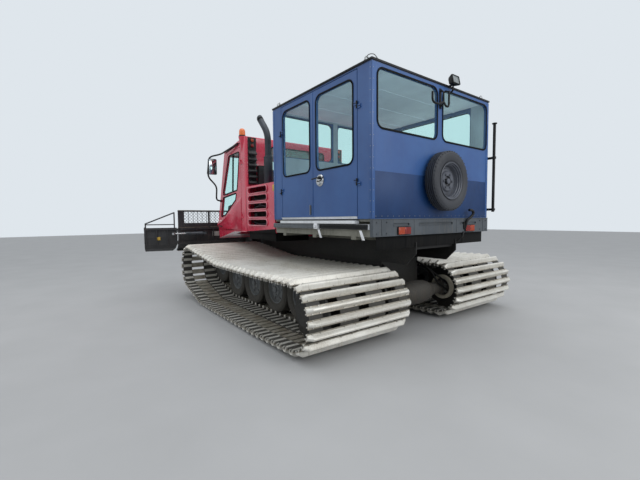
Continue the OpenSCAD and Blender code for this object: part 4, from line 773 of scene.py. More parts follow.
def makeSpare():
    place = aimed((-1, 0, 0), spare["place"])
    wall = [(0.2405, 0.055), (0.250, 0.064), (0.258, 0.066), (0.262, 0.072), (0.290, 0.080), (0.3311, 0.0845),
            (0.340, 0.082), (0.344, 0.0838), (0.360, 0.076), (0.370, 0.070)]
    groove = [(0.3845, -0.009), (0.3845, -0.006), (0.366, -0.004), (0.366, 0.004), (0.3845, 0.006),
              (0.3845, 0.009)]
    tyre = turned(tyreProfile(wall, (0.374, 0.066), (-0.042, -0.014, 0.014, 0.042), groove), 96)
    lug = bmesh.new()
    addBlock(lug, (0.352, -0.005, 0.060), (0.380, 0.005, 0.0755), 0.002)
    stamp(tyre, lug, [Matrix.Rotation(2 * math.pi * i / spare["lugs"], 4, "Z") @ Matrix.Rotation(turn, 4, "X")
                      for i in range(spare["lugs"]) for turn in (0, math.pi)])
    makeStamped(tyre, [place], "spareTyre", "spareRubber", "tyre_rubber", replaced=("spare_tyre",))
    rim = turned([(0, -0.012), (0.064, -0.012), (0.070, 0.010), (0.120, 0.014), (0.132, 0.004),
                  (0.136, -0.006), (0.164, -0.010), (0.170, -0.018), (0.190, -0.018), (0.200, -0.002),
                  (0.204, 0.022), (0.213, 0.027), (0.215, 0.048), (0.224, 0.053), (0.227, 0.068),
                  (0.234, 0.073), (0.2402, 0.070), (0.2402, -0.070), (0.226, -0.070), (0.206, -0.032),
                  (0, -0.032)], 72)
    addBolts(rim, [(x, y, 0.012) for x, y in circle(0.092, 6)], (0, 0, 1), 0.012)
    addTurned(rim, [(0, 0.030), (0.030, 0.030), (0.036, 0.024), (0.036, -0.012), (0, -0.012)], 24)
    # Bracket between the rim and the wall
    addBlock(rim, (-0.05, -0.05, -0.1045), (0.05, 0.05, -0.020), 0.006)
    makeStamped(rim, [place], "spareRim", "rimPaint", "black_paint", replaced=("spare_rim",))


makeSpare()
print("stage: drive and spare wheel")

# Passenger cabin, with its walls' thickness, the top of its lower plate and the rivets' radius
cabin = {"half": 1.241, "low": 1.530, "top": 3.290, "length": 2.200, "wall": 0.040, "plateTop": 2.070,
         "rivet": 0.0055, "sill": (0.235, 1.945)}
# Trim stands this far off the skin that carries it
skinGap = 0.0003

# Window gaskets: black rubber profiles round each pane, standing proud of the wall
gasket = {"lap": 0.013, "width": 0.024, "proud": 0.007, "radius": 0.090}
panes = {"rear": [(-1.190, -0.072), (0.048, 1.157)], "rearHeight": (2.5508, 3.210),
         "side": [(1.189, 1.896), (0.308, 1.040)], "sideHeight": (2.1812, 3.160),
         "right": (0.270, 1.896), "rightHeight": (2.1812, 3.195)}


# Moves a rounded outline outwards from its middle, along its own plane
def grow(points, reach):
    result = []
    sides = [points[len(points) * share // 3] - points[0] for share in (1, 2)]
    plane = sides[0].cross(sides[1]).normalized()
    for i, point in enumerate(points):
        along = (points[(i + 1) % len(points)] - points[i - 1]).normalized()
        result.append(point + along.cross(plane) * reach)
    return result


def addGasket(mesh, outline, radius, out):
    grown = grow(rounded(outline, radius), gasket["lap"])
    addRim(mesh, [p + out * skinGap for p in grown], gasket["width"], out * gasket["proud"], 0.0025)


def makeGaskets():
    mesh = bmesh.new()
    for ahead, out in ((0.0, -1), (cabin["length"], 1)):
        for y in panes["rear"]:
            addGasket(mesh, acrossRect(ahead, y, panes["rearHeight"]), gasket["radius"], Vector((out, 0, 0)))
    addGasket(mesh, alongRect(panes["right"], -cabin["half"], panes["rightHeight"]), gasket["radius"],
              Vector((0, -1, 0)))
    makePiece(mesh, "cabinGaskets", "sealRubber", "black_paint")
    for body, x in zip(("front_leaf", "rear_leaf"), panes["side"]):
        mesh = bmesh.new()
        addGasket(mesh, alongRect(x, cabin["half"], panes["sideHeight"]), gasket["radius"],
                  Vector((0, 1, 0)))
        makePiece(mesh, body + "Gasket", "sealRubber", "black_paint", body)


makeGaskets()


def makeCabinPlates():
    half, low, top, length = cabin["half"], cabin["low"], cabin["top"], cabin["length"]
    # Lower rear plate, painted again in a deeper blue
    plate = bmesh.new()
    addBlock(plate, at(-0.0035, -half + 0.004, low + 0.006), at(-0.0003, half - 0.004, cabin["plateTop"]),
             0.001)
    makePiece(plate, "rearPlate", "lowerEnamel", "cabin_paint")
    # Corner angles folded round the rear edges
    angles = bmesh.new()
    for side in (1, -1):
        addBlock(angles, at(-0.0045, side * (half - 0.045), low + 0.004),
                 at(-0.0004, side * (half + 0.003), top - 0.04), 0.001)
        addBlock(angles, at(-0.0045, side * (half + 0.0005), low + 0.004),
                 at(0.045, side * (half + 0.003), top - 0.04), 0.001)
        addBlock(angles, at(length - 0.048, side * (half + 0.0005), low + 0.004),
                 at(length + 0.0045, side * (half + 0.003), top - 0.04), 0.001)
    makePiece(angles, "cornerAngles", "blueEnamel", "cabin_paint")


def makeWallRivets():
    half, low, top, length = cabin["half"], cabin["low"], cabin["top"], cabin["length"]
    rivets = bmesh.new()
    addRivets(rivets, spread(at(-0.004, -half + 0.06, low + 0.03), at(-0.004, half - 0.06, low + 0.03), 25),
              (-1, 0, 0), cabin["rivet"])
    for y in (-half + 0.022, half - 0.022):
        addRivets(rivets, spread(at(-0.0045, y, low + 0.08), at(-0.0045, y, top - 0.10), 14), (-1, 0, 0),
                  cabin["rivet"])
    for side in (1, -1):
        for c in (0.022, length - 0.022):
            addRivets(rivets, spread(at(c, side * (half + 0.003), low + 0.08),
                                     at(c, side * (half + 0.003), top - 0.10), 14), (0, side, 0),
                      cabin["rivet"])
    addRivets(rivets, spread(at(0.06, -half, low + 0.03), at(length - 0.06, -half, low + 0.03), 22),
              (0, -1, 0), cabin["rivet"])
    makePiece(rivets, "wallRivets", "zincSteel", "steel_fittings")


# Thin dark roof edge
def makeRoofEdge():
    half, top, length = cabin["half"], cabin["top"], cabin["length"]
    edge = bmesh.new()
    for side in (1, -1):
        addBlock(edge, at(-0.0085, side * (half + 0.0082), top - 0.020),
                 at(length + 0.0085, side * (half + 0.0105), top + 0.002), 0.0006)
    for c in (-0.0105, length + 0.0082):
        addBlock(edge, at(c, -half - 0.0105, top - 0.020), at(c + 0.0023, half + 0.0105, top + 0.002), 0.0006)
    makePiece(edge, "roofEdge", "blackPaint", "roof_paint")


# Bright sill strip under the door, with a drip edge
def makeDoorSill():
    half, low = cabin["half"], cabin["low"]
    (c0, c1), high = cabin["sill"], low + 0.030
    sill = bmesh.new()
    addBlock(sill, at(c0, half + 0.0004, low + 0.002), at(c1, half + 0.007, high), 0.002)
    addBlock(sill, at(c0, half + 0.002, low + 0.026), at(c1, half + 0.024, high), 0.001)
    addRivets(sill, spread(at(0.30, half + 0.007, low + 0.013), at(1.88, half + 0.007, low + 0.013), 12),
              (0, 1, 0), 0.004)
    makePiece(sill, "doorSill", "sheetAluminium", "step_metal")


def makeCeiling():
    half, top, length = cabin["half"], cabin["top"], cabin["length"]
    ceiling = bmesh.new()
    inset, under = cabin["wall"] + 0.005, top - 0.040
    addBlock(ceiling, at(inset, inset - half, under), at(length - inset, half - inset, under + 0.009), 0.002)
    for c in (0.55, 1.1, 1.65):
        addBlock(ceiling, at(c - 0.02, -1.19, under - 0.007), at(c + 0.02, 1.19, under), 0.002)
    makePiece(ceiling, "cabinCeiling", "ceilingSheet", "cabin_paint")


makeCabinPlates()
makeWallRivets()
makeRoofEdge()
makeDoorSill()
makeCeiling()


# Door fittings: the latch's place ahead and up, the hinges' pins, and the heights of their lower knuckles
doors = {"latch": (0.960, 2.045), "pins": {"front_leaf": (1.950, -1), "rear_leaf": (0.230, 1)},
         "knuckles": [cabin["low"] + share * (cabin["top"] - cabin["low"]) for share in (0.22, 0.72)]}
knuckle = [(0.0055, 0), (0.0098, 0.001), (0.0102, 0.003), (0.0102, 0.039), (0.0098, 0.041), (0.0055, 0.042),
           (0.0055, 0)]


# Cover strip over the seam, on the rear leaf
def makeSeamStrip():
    half = cabin["half"]
    seam = bmesh.new()
    addBlock(seam, at(1.118, half + 0.0004, 1.565), at(1.1425, half + 0.004, 3.236), 0.001)
    makePiece(seam, "seamStrip", "blueEnamel", "cabin_paint", "rear_leaf")


# Round latch plate with a turning handle
def makeLatch():
    half = cabin["half"]
    latch = bmesh.new()
    plateSpot = at(doors["latch"][0], half + 0.0004, doors["latch"][1])
    addTurned(latch, [(0, 0.0), (0.078, 0.0), (0.080, 0.003), (0.076, 0.0075), (0.060, 0.010), (0.052, 0.006),
                      (0, 0.005)], 40, aimed((0, 1, 0), plateSpot))
    addTurned(latch, [(0, 0.0), (0.030, 0.0), (0.031, 0.020), (0.026, 0.026), (0, 0.028)], 28,
              aimed((0, 1, 0), plateSpot + Vector((0.010, 0.005, -0.035))))
    makePiece(latch, "latchPlate", "brightChrome", "steel_fittings", "rear_leaf")
    handle = bmesh.new()
    spot = plateSpot + Vector((0, 0.006, 0.012))
    addTube(handle, bent([spot + Vector((0.0, -0.002, 0.022)), spot + Vector((0.0, 0.040, 0.022)),
                          spot + Vector((0.120, 0.046, 0.012))], 0.02), 0.009, 12)
    addTube(handle, bent([spot + Vector((0.052, 0.0, -0.012)), spot + Vector((0.010, 0.036, -0.030)),
                          spot + Vector((-0.075, 0.030, -0.018)), spot + Vector((-0.070, 0.0, 0.034))],
                         0.03), 0.007, 10)
    addTurned(handle, [(0, 0), (0.020, 0), (0.019, 0.020), (0.012, 0.030), (0, 0.031)], 20,
              aimed((0, 1, 0), spot + Vector((0, 0, 0.022))))
    makePiece(handle, "latchHandle", "blackPlastic", "black_paint", "rear_leaf")


# Second bolt at the foot of the front leaf
def makeFootBolt():
    half = cabin["half"]
    bolt = bmesh.new()
    addBlock(bolt, at(1.165, half + 0.0004, 1.60), at(1.195, half + 0.008, 1.72), 0.002)
    addTube(bolt, [at(1.18, half + 0.014, 1.59), at(1.18, half + 0.014, 1.73)], 0.006, 10)
    makePiece(bolt, "footBolt", "zincSteel", "steel_fittings", "front_leaf")


# Black knuckles over the hinges' pins
def makeHinges():
    half = cabin["half"]
    for body, (c, turn) in doors["pins"].items():
        leafHinge, postHinge = bmesh.new(), bmesh.new()
        for z in doors["knuckles"]:
            for mesh, low, way in ((postHinge, z, -turn), (leafHinge, z + 0.044, turn)):
                addTurned(mesh, knuckle, 20, Matrix.Translation(at(c, half + 0.014, low)))
                addBolts(mesh, [at(c + way * reach, half + 0.0122, low + 0.021)
                                for reach in (0.028, 0.046)], (0, 1, 0), 0.0045)
        makePiece(leafHinge, body + "Knuckles", "blackPaint", "black_paint", body)
        makePiece(postHinge, body + "Posts", "blackPaint", "black_paint")


makeSeamStrip()
makeLatch()
makeFootBolt()
makeHinges()
print("stage: passenger cabin")

# Driver's cab and engine panels, in metres ahead of the passenger cabin's rear wall
cab = {"half": 1.200, "rear": 3.350, "rearWindow": [(-0.65, 0.65), (2.25, 2.95)],
       "screenLow": (4.824, 1.456), "roofFront": (4.380, 2.943),
       "upper": [(3.760, 2.120), (3.620, 2.845), (4.150, 2.833), (4.510, 2.060)],
       "lower": [(3.850, 1.930), (3.800, 2.060), (4.500, 2.000), (4.630, 1.600), (4.400, 1.640)]}

# Engine bay: slots in the side panels, with the radiator's fins, pipes and small boxes behind them
bay = {"slots": [1.436 + 0.145 * i for i in range(5)], "slotHeight": 0.094, "slotEnds": (2.520, 3.240),
       "lip": 0.022, "core": 1.070, "fins": 46, "finPitch": 0.0175,
       "pipes": [(1.50, -0.05), (1.72, 0.06), (1.93, -0.04)],
       "boxes": [(2.66, 1.60), (2.95, 1.83), (3.12, 1.62), (2.70, 2.00)]}


def makeEngineBay():
    lips, screens, pipes = bmesh.new(), bmesh.new(), bmesh.new()
    for side in (1, -1):
        out = Vector((0, side, 0))
        for z in bay["slots"]:
            outline = alongRect(bay["slotEnds"], side * cab["half"], (z, z + bay["slotHeight"]))
            slot = grow(rounded(outline, 0.0465), 0.0165)
            addRim(lips, [p + out * skinGap for p in slot], 0.017, out * bay["lip"], 0.007)
        # Radiator core behind the slots
        core = side * bay["core"]
        addBlock(screens, at(2.46, core - side * 0.050, 1.37), at(3.28, core, 2.06), 0.008)
        for i in range(bay["fins"]):
            c = 2.475 + i * bay["finPitch"]
            addBlock(screens, at(c, core, 1.39), at(c + 0.003, core + side * 0.008, 2.04))
        for z, drop in bay["pipes"]:
            addTube(pipes, bent([at(2.50, side * 1.115, z), at(2.78, side * 1.125, z + drop),
                                 at(3.02, side * 1.110, z + drop), at(3.26, side * 1.118, z)], 0.08), 0.016,
                    10)
        for c, z in bay["boxes"]:
            addBlock(pipes, at(c - 0.05, side * 1.080, z - 0.03), at(c + 0.05, side * 1.120, z + 0.03), 0.006)
    # The lips take the pale gelcoat: a painted highlight along their rolled edges
    makePiece(lips, "slotLips", "paintedHighlightGelcoat", "cab_paint")
    makePiece(screens, "radiatorCores", "castIron", "cast_housing")
    makePiece(pipes, "bayPipes", "stackSteel", "steel_fittings")


# Seal strips between the panels, black skirts under them, and a reflector; the skirts are painted shade, a
# black band and sheets where shade falls under the panels
def makePanelTrim():
    skin = cab["half"] + skinGap
    trim = bmesh.new()
    for side in (1, -1):
        addBlock(trim, at(2.245, side * skin, 1.32), at(2.2515, side * 1.2060, 2.10), 0.001)
        addBlock(trim, at(3.3385, side * 1.1950, 1.32), at(3.3490, side * 1.2005, 2.11), 0.001)
    makePiece(trim, "panelSeals", "sealRubber", "black_paint")
    # Painted shade: a black band over the panels' feet and black sheets under them, where shade falls
    shadeSkirt = bmesh.new()
    for side in (1, -1):
        wedge = [(2.243, 1.299), (3.338, 1.299), (3.338, 1.312), (2.243, 1.375)]
        addPrism(shadeSkirt, acrossSide(wedge, side * skin), Vector((0, side * 0.003, 0)), 0.0005)
        addBlock(shadeSkirt, at(2.285, side * 1.1703, 1.176), at(3.285, side * 1.1760, 1.2985), 0.001)
        addBlock(shadeSkirt, at(2.2750, side * 0.520, 1.166), at(2.2797, side * 1.176, 1.342), 0.001)
    makePiece(shadeSkirt, "panelShadeSkirts", "sealRubber", "black_paint")
    plate = bmesh.new()
    addBlock(plate, at(2.262, 1.2004, 2.005), at(2.322, 1.2050, 2.105), 0.002)
    addBlock(plate, at(2.270, 1.2050, 2.012), at(2.314, 1.2075, 2.098), 0.002)
    makePiece(plate, "sideReflector", "yellowPlate", "lamp_lens")


makeEngineBay()
makePanelTrim()

# Exhaust: one smooth bend, a wider sleeve with clamps, and a slanted mouth
stack = {"ahead": 2.900, "side": 0.960, "low": 2.1503, "straight": 0.880, "tail": 0.440, "lean": 42,
         "radius": 0.058}


def makeStack():
    base = at(stack["ahead"], stack["side"], stack["low"])
    lean = math.radians(stack["lean"])
    aim = Vector((math.sin(lean), 0, math.cos(lean)))
    corner = base + Vector((0, 0, stack["straight"] + 0.055))
    tip = corner + aim * (stack["tail"] + 0.045)
    path = bent([base, corner, tip], 0.16, 10)
    mesh = bmesh.new()
    addTube(mesh, path, stack["radius"], 28)
    mesh.faces.ensure_lookup_table()
    mouth = max(mesh.faces, key=lambda face: face.calc_center_median().dot(aim))
    across = aim.cross(Vector((0, 1, 0)))
    middle = mouth.calc_center_median()
    for vert in mouth.verts:
        vert.co -= aim * (0.03 - (vert.co - middle).dot(across) * 0.45)
    sooty = bmesh.new()
    addTube(sooty, [tip - aim * 0.110, tip - aim * 0.062], stack["radius"] + 0.0012, 28)
    makePiece(sooty, "stackSoot", "sealRubber", "stack_metal")
    bmesh.ops.inset_region(mesh, faces=[mouth], thickness=0.004, use_even_offset=True, use_boundary=True)
    bore = vertsOf(bmesh.ops.extrude_face_region(mesh, geom=[mouth])["geom"])
    bmesh.ops.translate(mesh, vec=-aim * 0.26, verts=bore)
    makePiece(mesh, "stackPipe", "stackSteel", "stack_metal", replaced=("exhaust",))
    mesh = bmesh.new()
    length = stack["straight"] * 0.6
    addTurned(mesh, [(0.060, 0.0), (0.078, 0.0), (0.080, 0.003), (0.080, length - 0.02), (0.072, length),
                     (0.060, length), (0.060, 0.0)], 40, Matrix.Translation(base))
    for z in (0.05, 0.27, 0.49):
        addTurned(mesh, [(0.080, z), (0.0835, z + 0.001), (0.0835, z + 0.015), (0.080, z + 0.016),
                         (0.0795, z + 0.008), (0.080, z)], 40, Matrix.Translation(base))
        addBlock(mesh, base + Vector((-0.012, -0.100, z)), base + Vector((0.012, -0.078, z + 0.016)), 0.003)
    makePiece(mesh, "stackSleeve", "stackSteel", "stack_metal")


makeStack()


# Swept lower body: stations of ahead, ledge height and how far it stands out; the ledge fades into the pillar
swoosh = {"stations": [(3.584, 1.985, 0.008), (3.700, 1.955, 0.024), (3.830, 1.880, 0.048),
                       (4.000, 1.785, 0.074), (4.200, 1.682, 0.086), (4.400, 1.598, 0.088),
                       (4.550, 1.562, 0.082), (4.688, 1.545, 0.074)],
          "nose": [(4.714, 1.540, 0.070), (4.760, 1.532, 0.056), (4.796, 1.510, 0.032)],
          "ledge": [(0.42, 0.30), (0.90, 0.80), (1.0, 1.0)], "drop": 0.100, "foot": 1.336,
          "noseFoot": 1.345, "tuck": 0.050}


# Closed skin over a row of stations, each a ledge over a side that tucks in at its foot
def addSwoosh(mesh, stations, side, foot):
    rings = []
    skin = side * (cab["half"] + skinGap)
    for c, z, out in stations:
        ring = [at(c, skin, z)]
        ring += [at(c, skin + side * out * reach, z - swoosh["drop"] * fall)
                 for reach, fall in swoosh["ledge"]]
        ring += [at(c, skin + side * max(out - swoosh["tuck"], 0.004), foot + 0.010), at(c, skin, foot)]
        rings.append([mesh.verts.new(point) for point in ring])
    for here, there in zip(rings, rings[1:]):
        for i in range(len(here)):
            mesh.faces.new((here[i - 1], here[i], there[i], there[i - 1]))
    mesh.faces.new(rings[0])
    mesh.faces.new(rings[-1])


def makeSwoosh():
    for side, word in bothSides.items():
        for name, run, foot, body in (("swoosh", "stations", "foot", "cab_door_" + word),
                                      ("noseLedge", "nose", "noseFoot", "vehicle")):
            mesh = bmesh.new()
            addSwoosh(mesh, swoosh[run], side, swoosh[foot])
            makePiece(mesh, name + word.title(), "redGelcoat", "cab_paint", body)


makeSwoosh()


# A point on the windscreen: distance across and up the slope, and out from its surface
def onScreen(y, up, out):
    low, top = Vector(cab["screenLow"]), Vector(cab["roofFront"])
    slope = (top - low).normalized()
    spot = low + slope * up + Vector((slope.y, -slope.x)) * out
    return at(spot.x, y, spot.y)


def outlineSize(points):
    middle = sum(points, Vector()) / len(points)
    return sum((point - middle).length for point in points)


# A flatter gasket, that lies on the cab's leaning faces
def addGasketFlat(mesh, outline, radius):
    points = rounded(outline, radius)
    inner, outer = grow(points, -0.010), grow(points, 0.016)
    plane = (outline[1] - outline[0]).cross(outline[2] - outline[1]).normalized()
    away = plane if plane.dot(outline[0] - at(4.0, 0, 2.2)) > 0 else -plane
    bigger = outer if outlineSize(outer) > outlineSize(inner) else inner
    addRim(mesh, [p + away * skinGap for p in bigger], 0.026, away * 0.006, 0.002)


# Gaskets of the windscreen and the rear window
def makeCabGaskets():
    half = cab["half"]
    mesh = bmesh.new()
    low, top = 0.060, (Vector(cab["roofFront"]) - Vector(cab["screenLow"])).length - 0.070
    addGasketFlat(mesh, [onScreen(-half + 0.07, low, 0), onScreen(half - 0.07, low, 0),
                         onScreen(half - 0.07, top, 0), onScreen(-half + 0.07, top, 0)], 0.070)
    addGasketFlat(mesh, acrossRect(cab["rear"], *cab["rearWindow"]), 0.060)
    makePiece(mesh, "cabGaskets", "sealRubber", "black_paint")


def makeCabDoorTrim():
    half = cab["half"]
    for side, word in bothSides.items():
        body = "cab_door_" + word
        mesh = bmesh.new()
        addGasketFlat(mesh, acrossSide(cab["upper"], side * half), 0.045)
        addGasketFlat(mesh, acrossSide(cab["lower"], side * half), 0.025)
        # Sliding pane's stile in the upper window
        stile = [(3.985, 2.105), (3.930, 2.835), (3.958, 2.835), (4.013, 2.102)]
        addPrism(mesh, acrossSide(stile, side * (half - 0.024)), Vector((0, side * 0.026, 0)), 0.003)
        makePiece(mesh, body + "Gaskets", "sealRubber", "black_paint", body)
        # Pull handle and lock
        mesh = bmesh.new()
        spot = at(4.46, side * (half + 0.040), 1.395)
        out = Vector((0, side, 0))
        addTube(mesh, bent([spot, spot + out * 0.04, spot + out * 0.04 + Vector((0.15, 0, 0.012)),
                            spot + Vector((0.15, 0, 0.012))], 0.02), 0.009, 10)
        addTurned(mesh, [(0, 0), (0.020, 0), (0.021, 0.004), (0.013, 0.010), (0, 0.011)], 20,
                  aimed(out, spot + Vector((-0.05, side * 0.0003, 0.0))))
        makePiece(mesh, body + "Handle", "blackPlastic", "dark_plastic", body)


# Rain strip over each door
def makeRainStrips():
    half = cab["half"]
    mesh = bmesh.new()
    for side in (1, -1):
        strip = [at(3.48, side * (half + 0.001), 3.005), at(3.52, side * (half + 0.004), 3.020),
                 at(4.30, side * (half + 0.004), 2.925)]
        addTube(mesh, bent(strip, 0.03), 0.008, 8)
    makePiece(mesh, "rainStrips", "sealRubber", "black_paint")


# Wipers: the arms' feet across the screen, how far they reach up it and lean aside, and the rubbers' radius
wiper = {"feet": (0.180, -0.550), "reach": 0.620, "lean": 0.100, "rubber": 0.008}


def makeWipers():
    mesh = bmesh.new()
    reach = wiper["reach"]
    for y in wiper["feet"]:
        tip = y + wiper["lean"]
        foot = onScreen(y, 0.02, 0.018)
        addTube(mesh, bent([onScreen(y, 0.0, 0.002), foot, onScreen(tip, reach, 0.026)], 0.03), 0.007, 8)
        addTube(mesh, [onScreen(tip, reach - 0.36, 0.013), onScreen(tip, reach + 0.34, 0.013)],
                wiper["rubber"], 8)
        addTube(mesh, [onScreen(tip, reach, 0.026), onScreen(tip, reach - 0.01, 0.012)], 0.006, 8)
        addTurned(mesh, [(0, 0), (0.024, 0), (0.022, 0.018), (0, 0.022)], 20,
                  aimed(onScreen(y, 0, 1) - onScreen(y, 0, 0), onScreen(y, 0.002, 0.0004)))
    makePiece(mesh, "wipers", "blackPlastic", "dark_plastic")


# Chin lip round the foot of the cab
def makeChinLips():
    half = cab["half"]
    mesh = bmesh.new()
    for side in (1, -1):
        lip = [(3.36, 1.305), (3.92, 1.305), (4.755, 1.138)]
        addTube(mesh, acrossSide(lip, side * (half + 0.0005)), 0.008, 8)
    addTube(mesh, [at(4.758, -half + 0.01, 1.136), at(4.758, half - 0.01, 1.136)], 0.009, 8)
    makePiece(mesh, "chinLips", "redGelcoat", "cab_paint")


makeCabGaskets()
makeCabDoorTrim()
makeRainStrips()
makeWipers()
makeChinLips()

# Lamps on the louvre columns, tail lamps and the beacon
lampSpots = {"face": 3.3357, "column": 1.064, "amber": 3.030, "red": 2.930, "beacon": (3.500, 1.185),
             "tailRed": (0.613, 0.721), "tailAmber": (0.725, 0.832), "tailRibs": 7}


def makeLamps():
    amber, red, bezels = bmesh.new(), bmesh.new(), bmesh.new()
    for side in (1, -1):
        for mesh, z in ((amber, lampSpots["amber"]), (red, lampSpots["red"])):
            place = aimed((-1, 0, 0), at(lampSpots["face"], side * lampSpots["column"], z))
            addTurned(mesh, [(0, 0.004), (0.030, 0.004), (0.0325, 0.008), (0.031, 0.017), (0.020, 0.0215),
                             (0, 0.022)], 32, place)
            addTurned(bezels, [(0.033, 0.0), (0.038, 0.0), (0.038, 0.012), (0.036, 0.016), (0.033, 0.014),
                               (0.033, 0.0)], 32, place)
    # Tail lamps: amber outside, red inside, in a black frame
    for side in (1, -1):
        for mesh, ends in ((red, lampSpots["tailRed"]), (amber, lampSpots["tailAmber"])):
            addBlock(mesh, at(-0.046, side * ends[0], 1.343), at(-0.0215, side * ends[1], 1.427), 0.004)
            for i in range(lampSpots["tailRibs"]):
                y = ends[0] + 0.012 + i * 0.014
                addBlock(mesh, at(-0.0475, side * y, 1.348), at(-0.0455, side * (y + 0.003), 1.422))
        addRim(bezels, acrossRect(-0.0213, (side * 0.606, side * 0.839), (1.336, 1.434)), 0.006,
               Vector((-0.018, 0, 0)), 0.002)
        addBlock(bezels, at(-0.034, side * 0.7205, 1.340), at(-0.0213, side * 0.7255, 1.430), 0.001)
    makePiece(amber, "amberLamps", "deepAmber", "lamp_lens", replaced=("tail_lamps",))
    makePiece(red, "redLamps", "redLens", "lamp_lens", replaced=("tail_lamps",))
    makePiece(bezels, "lampBezels", "blackPlastic", "dark_plastic", replaced=("tail_lamps",))


def makeBeacon():
    spot = at(lampSpots["beacon"][0], lampSpots["beacon"][1], 3.1103)
    dome, base = bmesh.new(), bmesh.new()
    addTurned(dome, [(0, 0.0265), (0.058, 0.0265), (0.060, 0.030), (0.0595, 0.060), (0.0575, 0.106),
                     (0.050, 0.134), (0.030, 0.152), (0, 0.158)], 40, Matrix.Translation(spot))
    makePiece(dome, "beaconDome", "amberLens", "beacon_lens", replaced=("beacon",))
    addTurned(base, [(0, 0.0), (0.064, 0.0), (0.066, 0.004), (0.066, 0.020), (0.061, 0.0262), (0, 0.0262)],
              40, Matrix.Translation(spot))
    makePiece(base, "beaconBase", "blackPlastic", "dark_plastic", replaced=("beacon",))


# Mirrors: the glass's middle and half size, and the arm's bends as ahead, out from the cab's side, and height
mirror = {"place": (4.432, 1.456, 2.635), "half": (0.078, 0.150), "tube": 0.0165,
          "arm": [(3.690, 0.020, 3.000), (4.310, 0.100, 2.895), (4.450, 0.310, 2.840), (4.450, 0.340, 2.430),
                  (4.500, 0.135, 2.240), (4.595, 0.120, 1.960), (4.610, 0.020, 1.945)]}


def makeMirrors():
    silver, shells = bmesh.new(), bmesh.new()
    for side in (1, -1):
        # Glass faces the driver, in a rounded black shell
        c, y, z = mirror["place"]
        middle = at(c, side * y, z)
        wide, tall = mirror["half"]
        addBlock(silver, middle - Vector((0.047, wide, tall)), middle + Vector((-0.0452, wide, tall)), 0.0005)
        wide, tall = wide + 0.009, tall + 0.011
        frameLine = acrossRect(c - 0.0451, (side * y - wide, side * y + wide), (z - tall, z + tall))
        addRim(shells, rounded(frameLine, 0.02), 0.011, Vector((-0.006, 0, 0)), 0.002)
        addBlock(shells, at(4.3875, side * 1.370, 2.475), at(4.440, side * 1.542, 2.795), 0.018)
        path = [at(c, side * (cab["half"] + reach), z) for c, reach, z in mirror["arm"]]
        addTube(shells, bent(path, 0.09), mirror["tube"], 14)
        for end in (path[0], path[-1]):
            addBlock(shells, end + Vector((-0.024, -0.018 * side, -0.024)),
                     end + Vector((0.024, 0.006 * side, 0.024)), 0.004)
        addTube(shells, [path[3] + Vector((-0.012, 0, 0.06)), path[2] + Vector((-0.012, 0, -0.06))], 0.022,
                14)
    makePiece(silver, "mirrorGlass", "mirrorSilver", "black_paint")
    makePiece(shells, "mirrorShells", "blackPlastic", "black_paint", replaced=("mirrors",))


makeLamps()
makeBeacon()
makeMirrors()
print("stage: driver's cab")

# Rear fittings: work lamp, twin hook, pole and bumper hook
rearKit = {"lamp": at(-0.060, -0.220, 3.290), "pole": at(-0.050, -1.341, 1.620), "poleTop": 2.960,
           "clamps": (1.640, 2.430), "hook": -0.012, "prongs": [(0.250, 3.115), (-0.105, 3.190)]}


# Work lamp: its shell tapers to the back, with cooling ribs
def addWorkLamp(shell, lens):
    lamp = rearKit["lamp"]
    tilt = Matrix.Translation(lamp) @ Matrix.Rotation(math.radians(12), 4, "Y")
    box = bmesh.ops.create_cube(shell, size=1, matrix=tilt @ Matrix.Translation((-0.010, 0, 0.0525))
                                @ Matrix.Diagonal((0.068, 0.170, 0.125, 1)))["verts"]
    aim = (tilt.to_3x3() @ Vector((1, 0, 0))).normalized()
    centre = sum((vert.co for vert in box), Vector()) / 8
    for vert in box:
        if (vert.co - centre).dot(aim) > 0:
            vert.co = centre + (vert.co - centre) * 0.72 + aim * 0.0095
    roundEdges(shell, box, 0.008)
    rim = [tilt @ Vector((-0.0445, y, z))
           for y, z in ((-0.083, -0.008), (0.083, -0.008), (0.083, 0.113), (-0.083, 0.113))]
    addRim(shell, rounded(rim, 0.016), 0.012, -aim * 0.008, 0.002)
    for i in range(5):
        addBlock(shell, (0.020, -0.05 + i * 0.023, 0.015), (0.034, -0.045 + i * 0.023, 0.090), 0.001, tilt)
    # Bracket down to the foot on the roof
    addTube(shell, bent([tilt @ Vector((0, 0, -0.004)), lamp + Vector((0.010, 0, -0.020)),
                         lamp + Vector((0, 0, -0.070)), lamp + Vector((0.056, 0, -0.085))], 0.03), 0.011, 10)
    addBlock(shell, lamp + Vector((-0.020, -0.022, 0.0004)), lamp + Vector((0.090, 0.022, 0.0095)), 0.002)
    addBolts(shell, [lamp + Vector((0.075, y, 0.0095)) for y in (-0.011, 0.011)], (0, 0, 1), 0.006)
    addBlock(lens, (-0.0462, -0.073, 0.002), (-0.0440, 0.073, 0.103), 0.001, tilt)


# Twin hook on the post between the windows: a stem, and a prong that curves up on each side
def addTwinHook(shell):
    y = rearKit["hook"]
    addBlock(shell, at(-0.009, y - 0.022, 2.960), at(-0.0003, y + 0.022, 3.215), 0.002)
    addTube(shell, bent([at(-0.006, y, 3.190), at(-0.050, y, 3.170), at(-0.055, y, 3.010),
                         at(-0.008, y, 2.985)], 0.04), 0.011, 12)
    for reach, tip in rearKit["prongs"]:
        addTube(shell, bent([at(-0.052, y, 3.040), at(-0.058, y + reach * 0.35, 2.985),
                             at(-0.062, y + reach, 2.985), at(-0.062, y + reach, tip)], 0.060), 0.013, 12)
    addBolts(shell, [at(-0.009, y, z) for z in (3.203, 2.972)], (-1, 0, 0), 0.009)


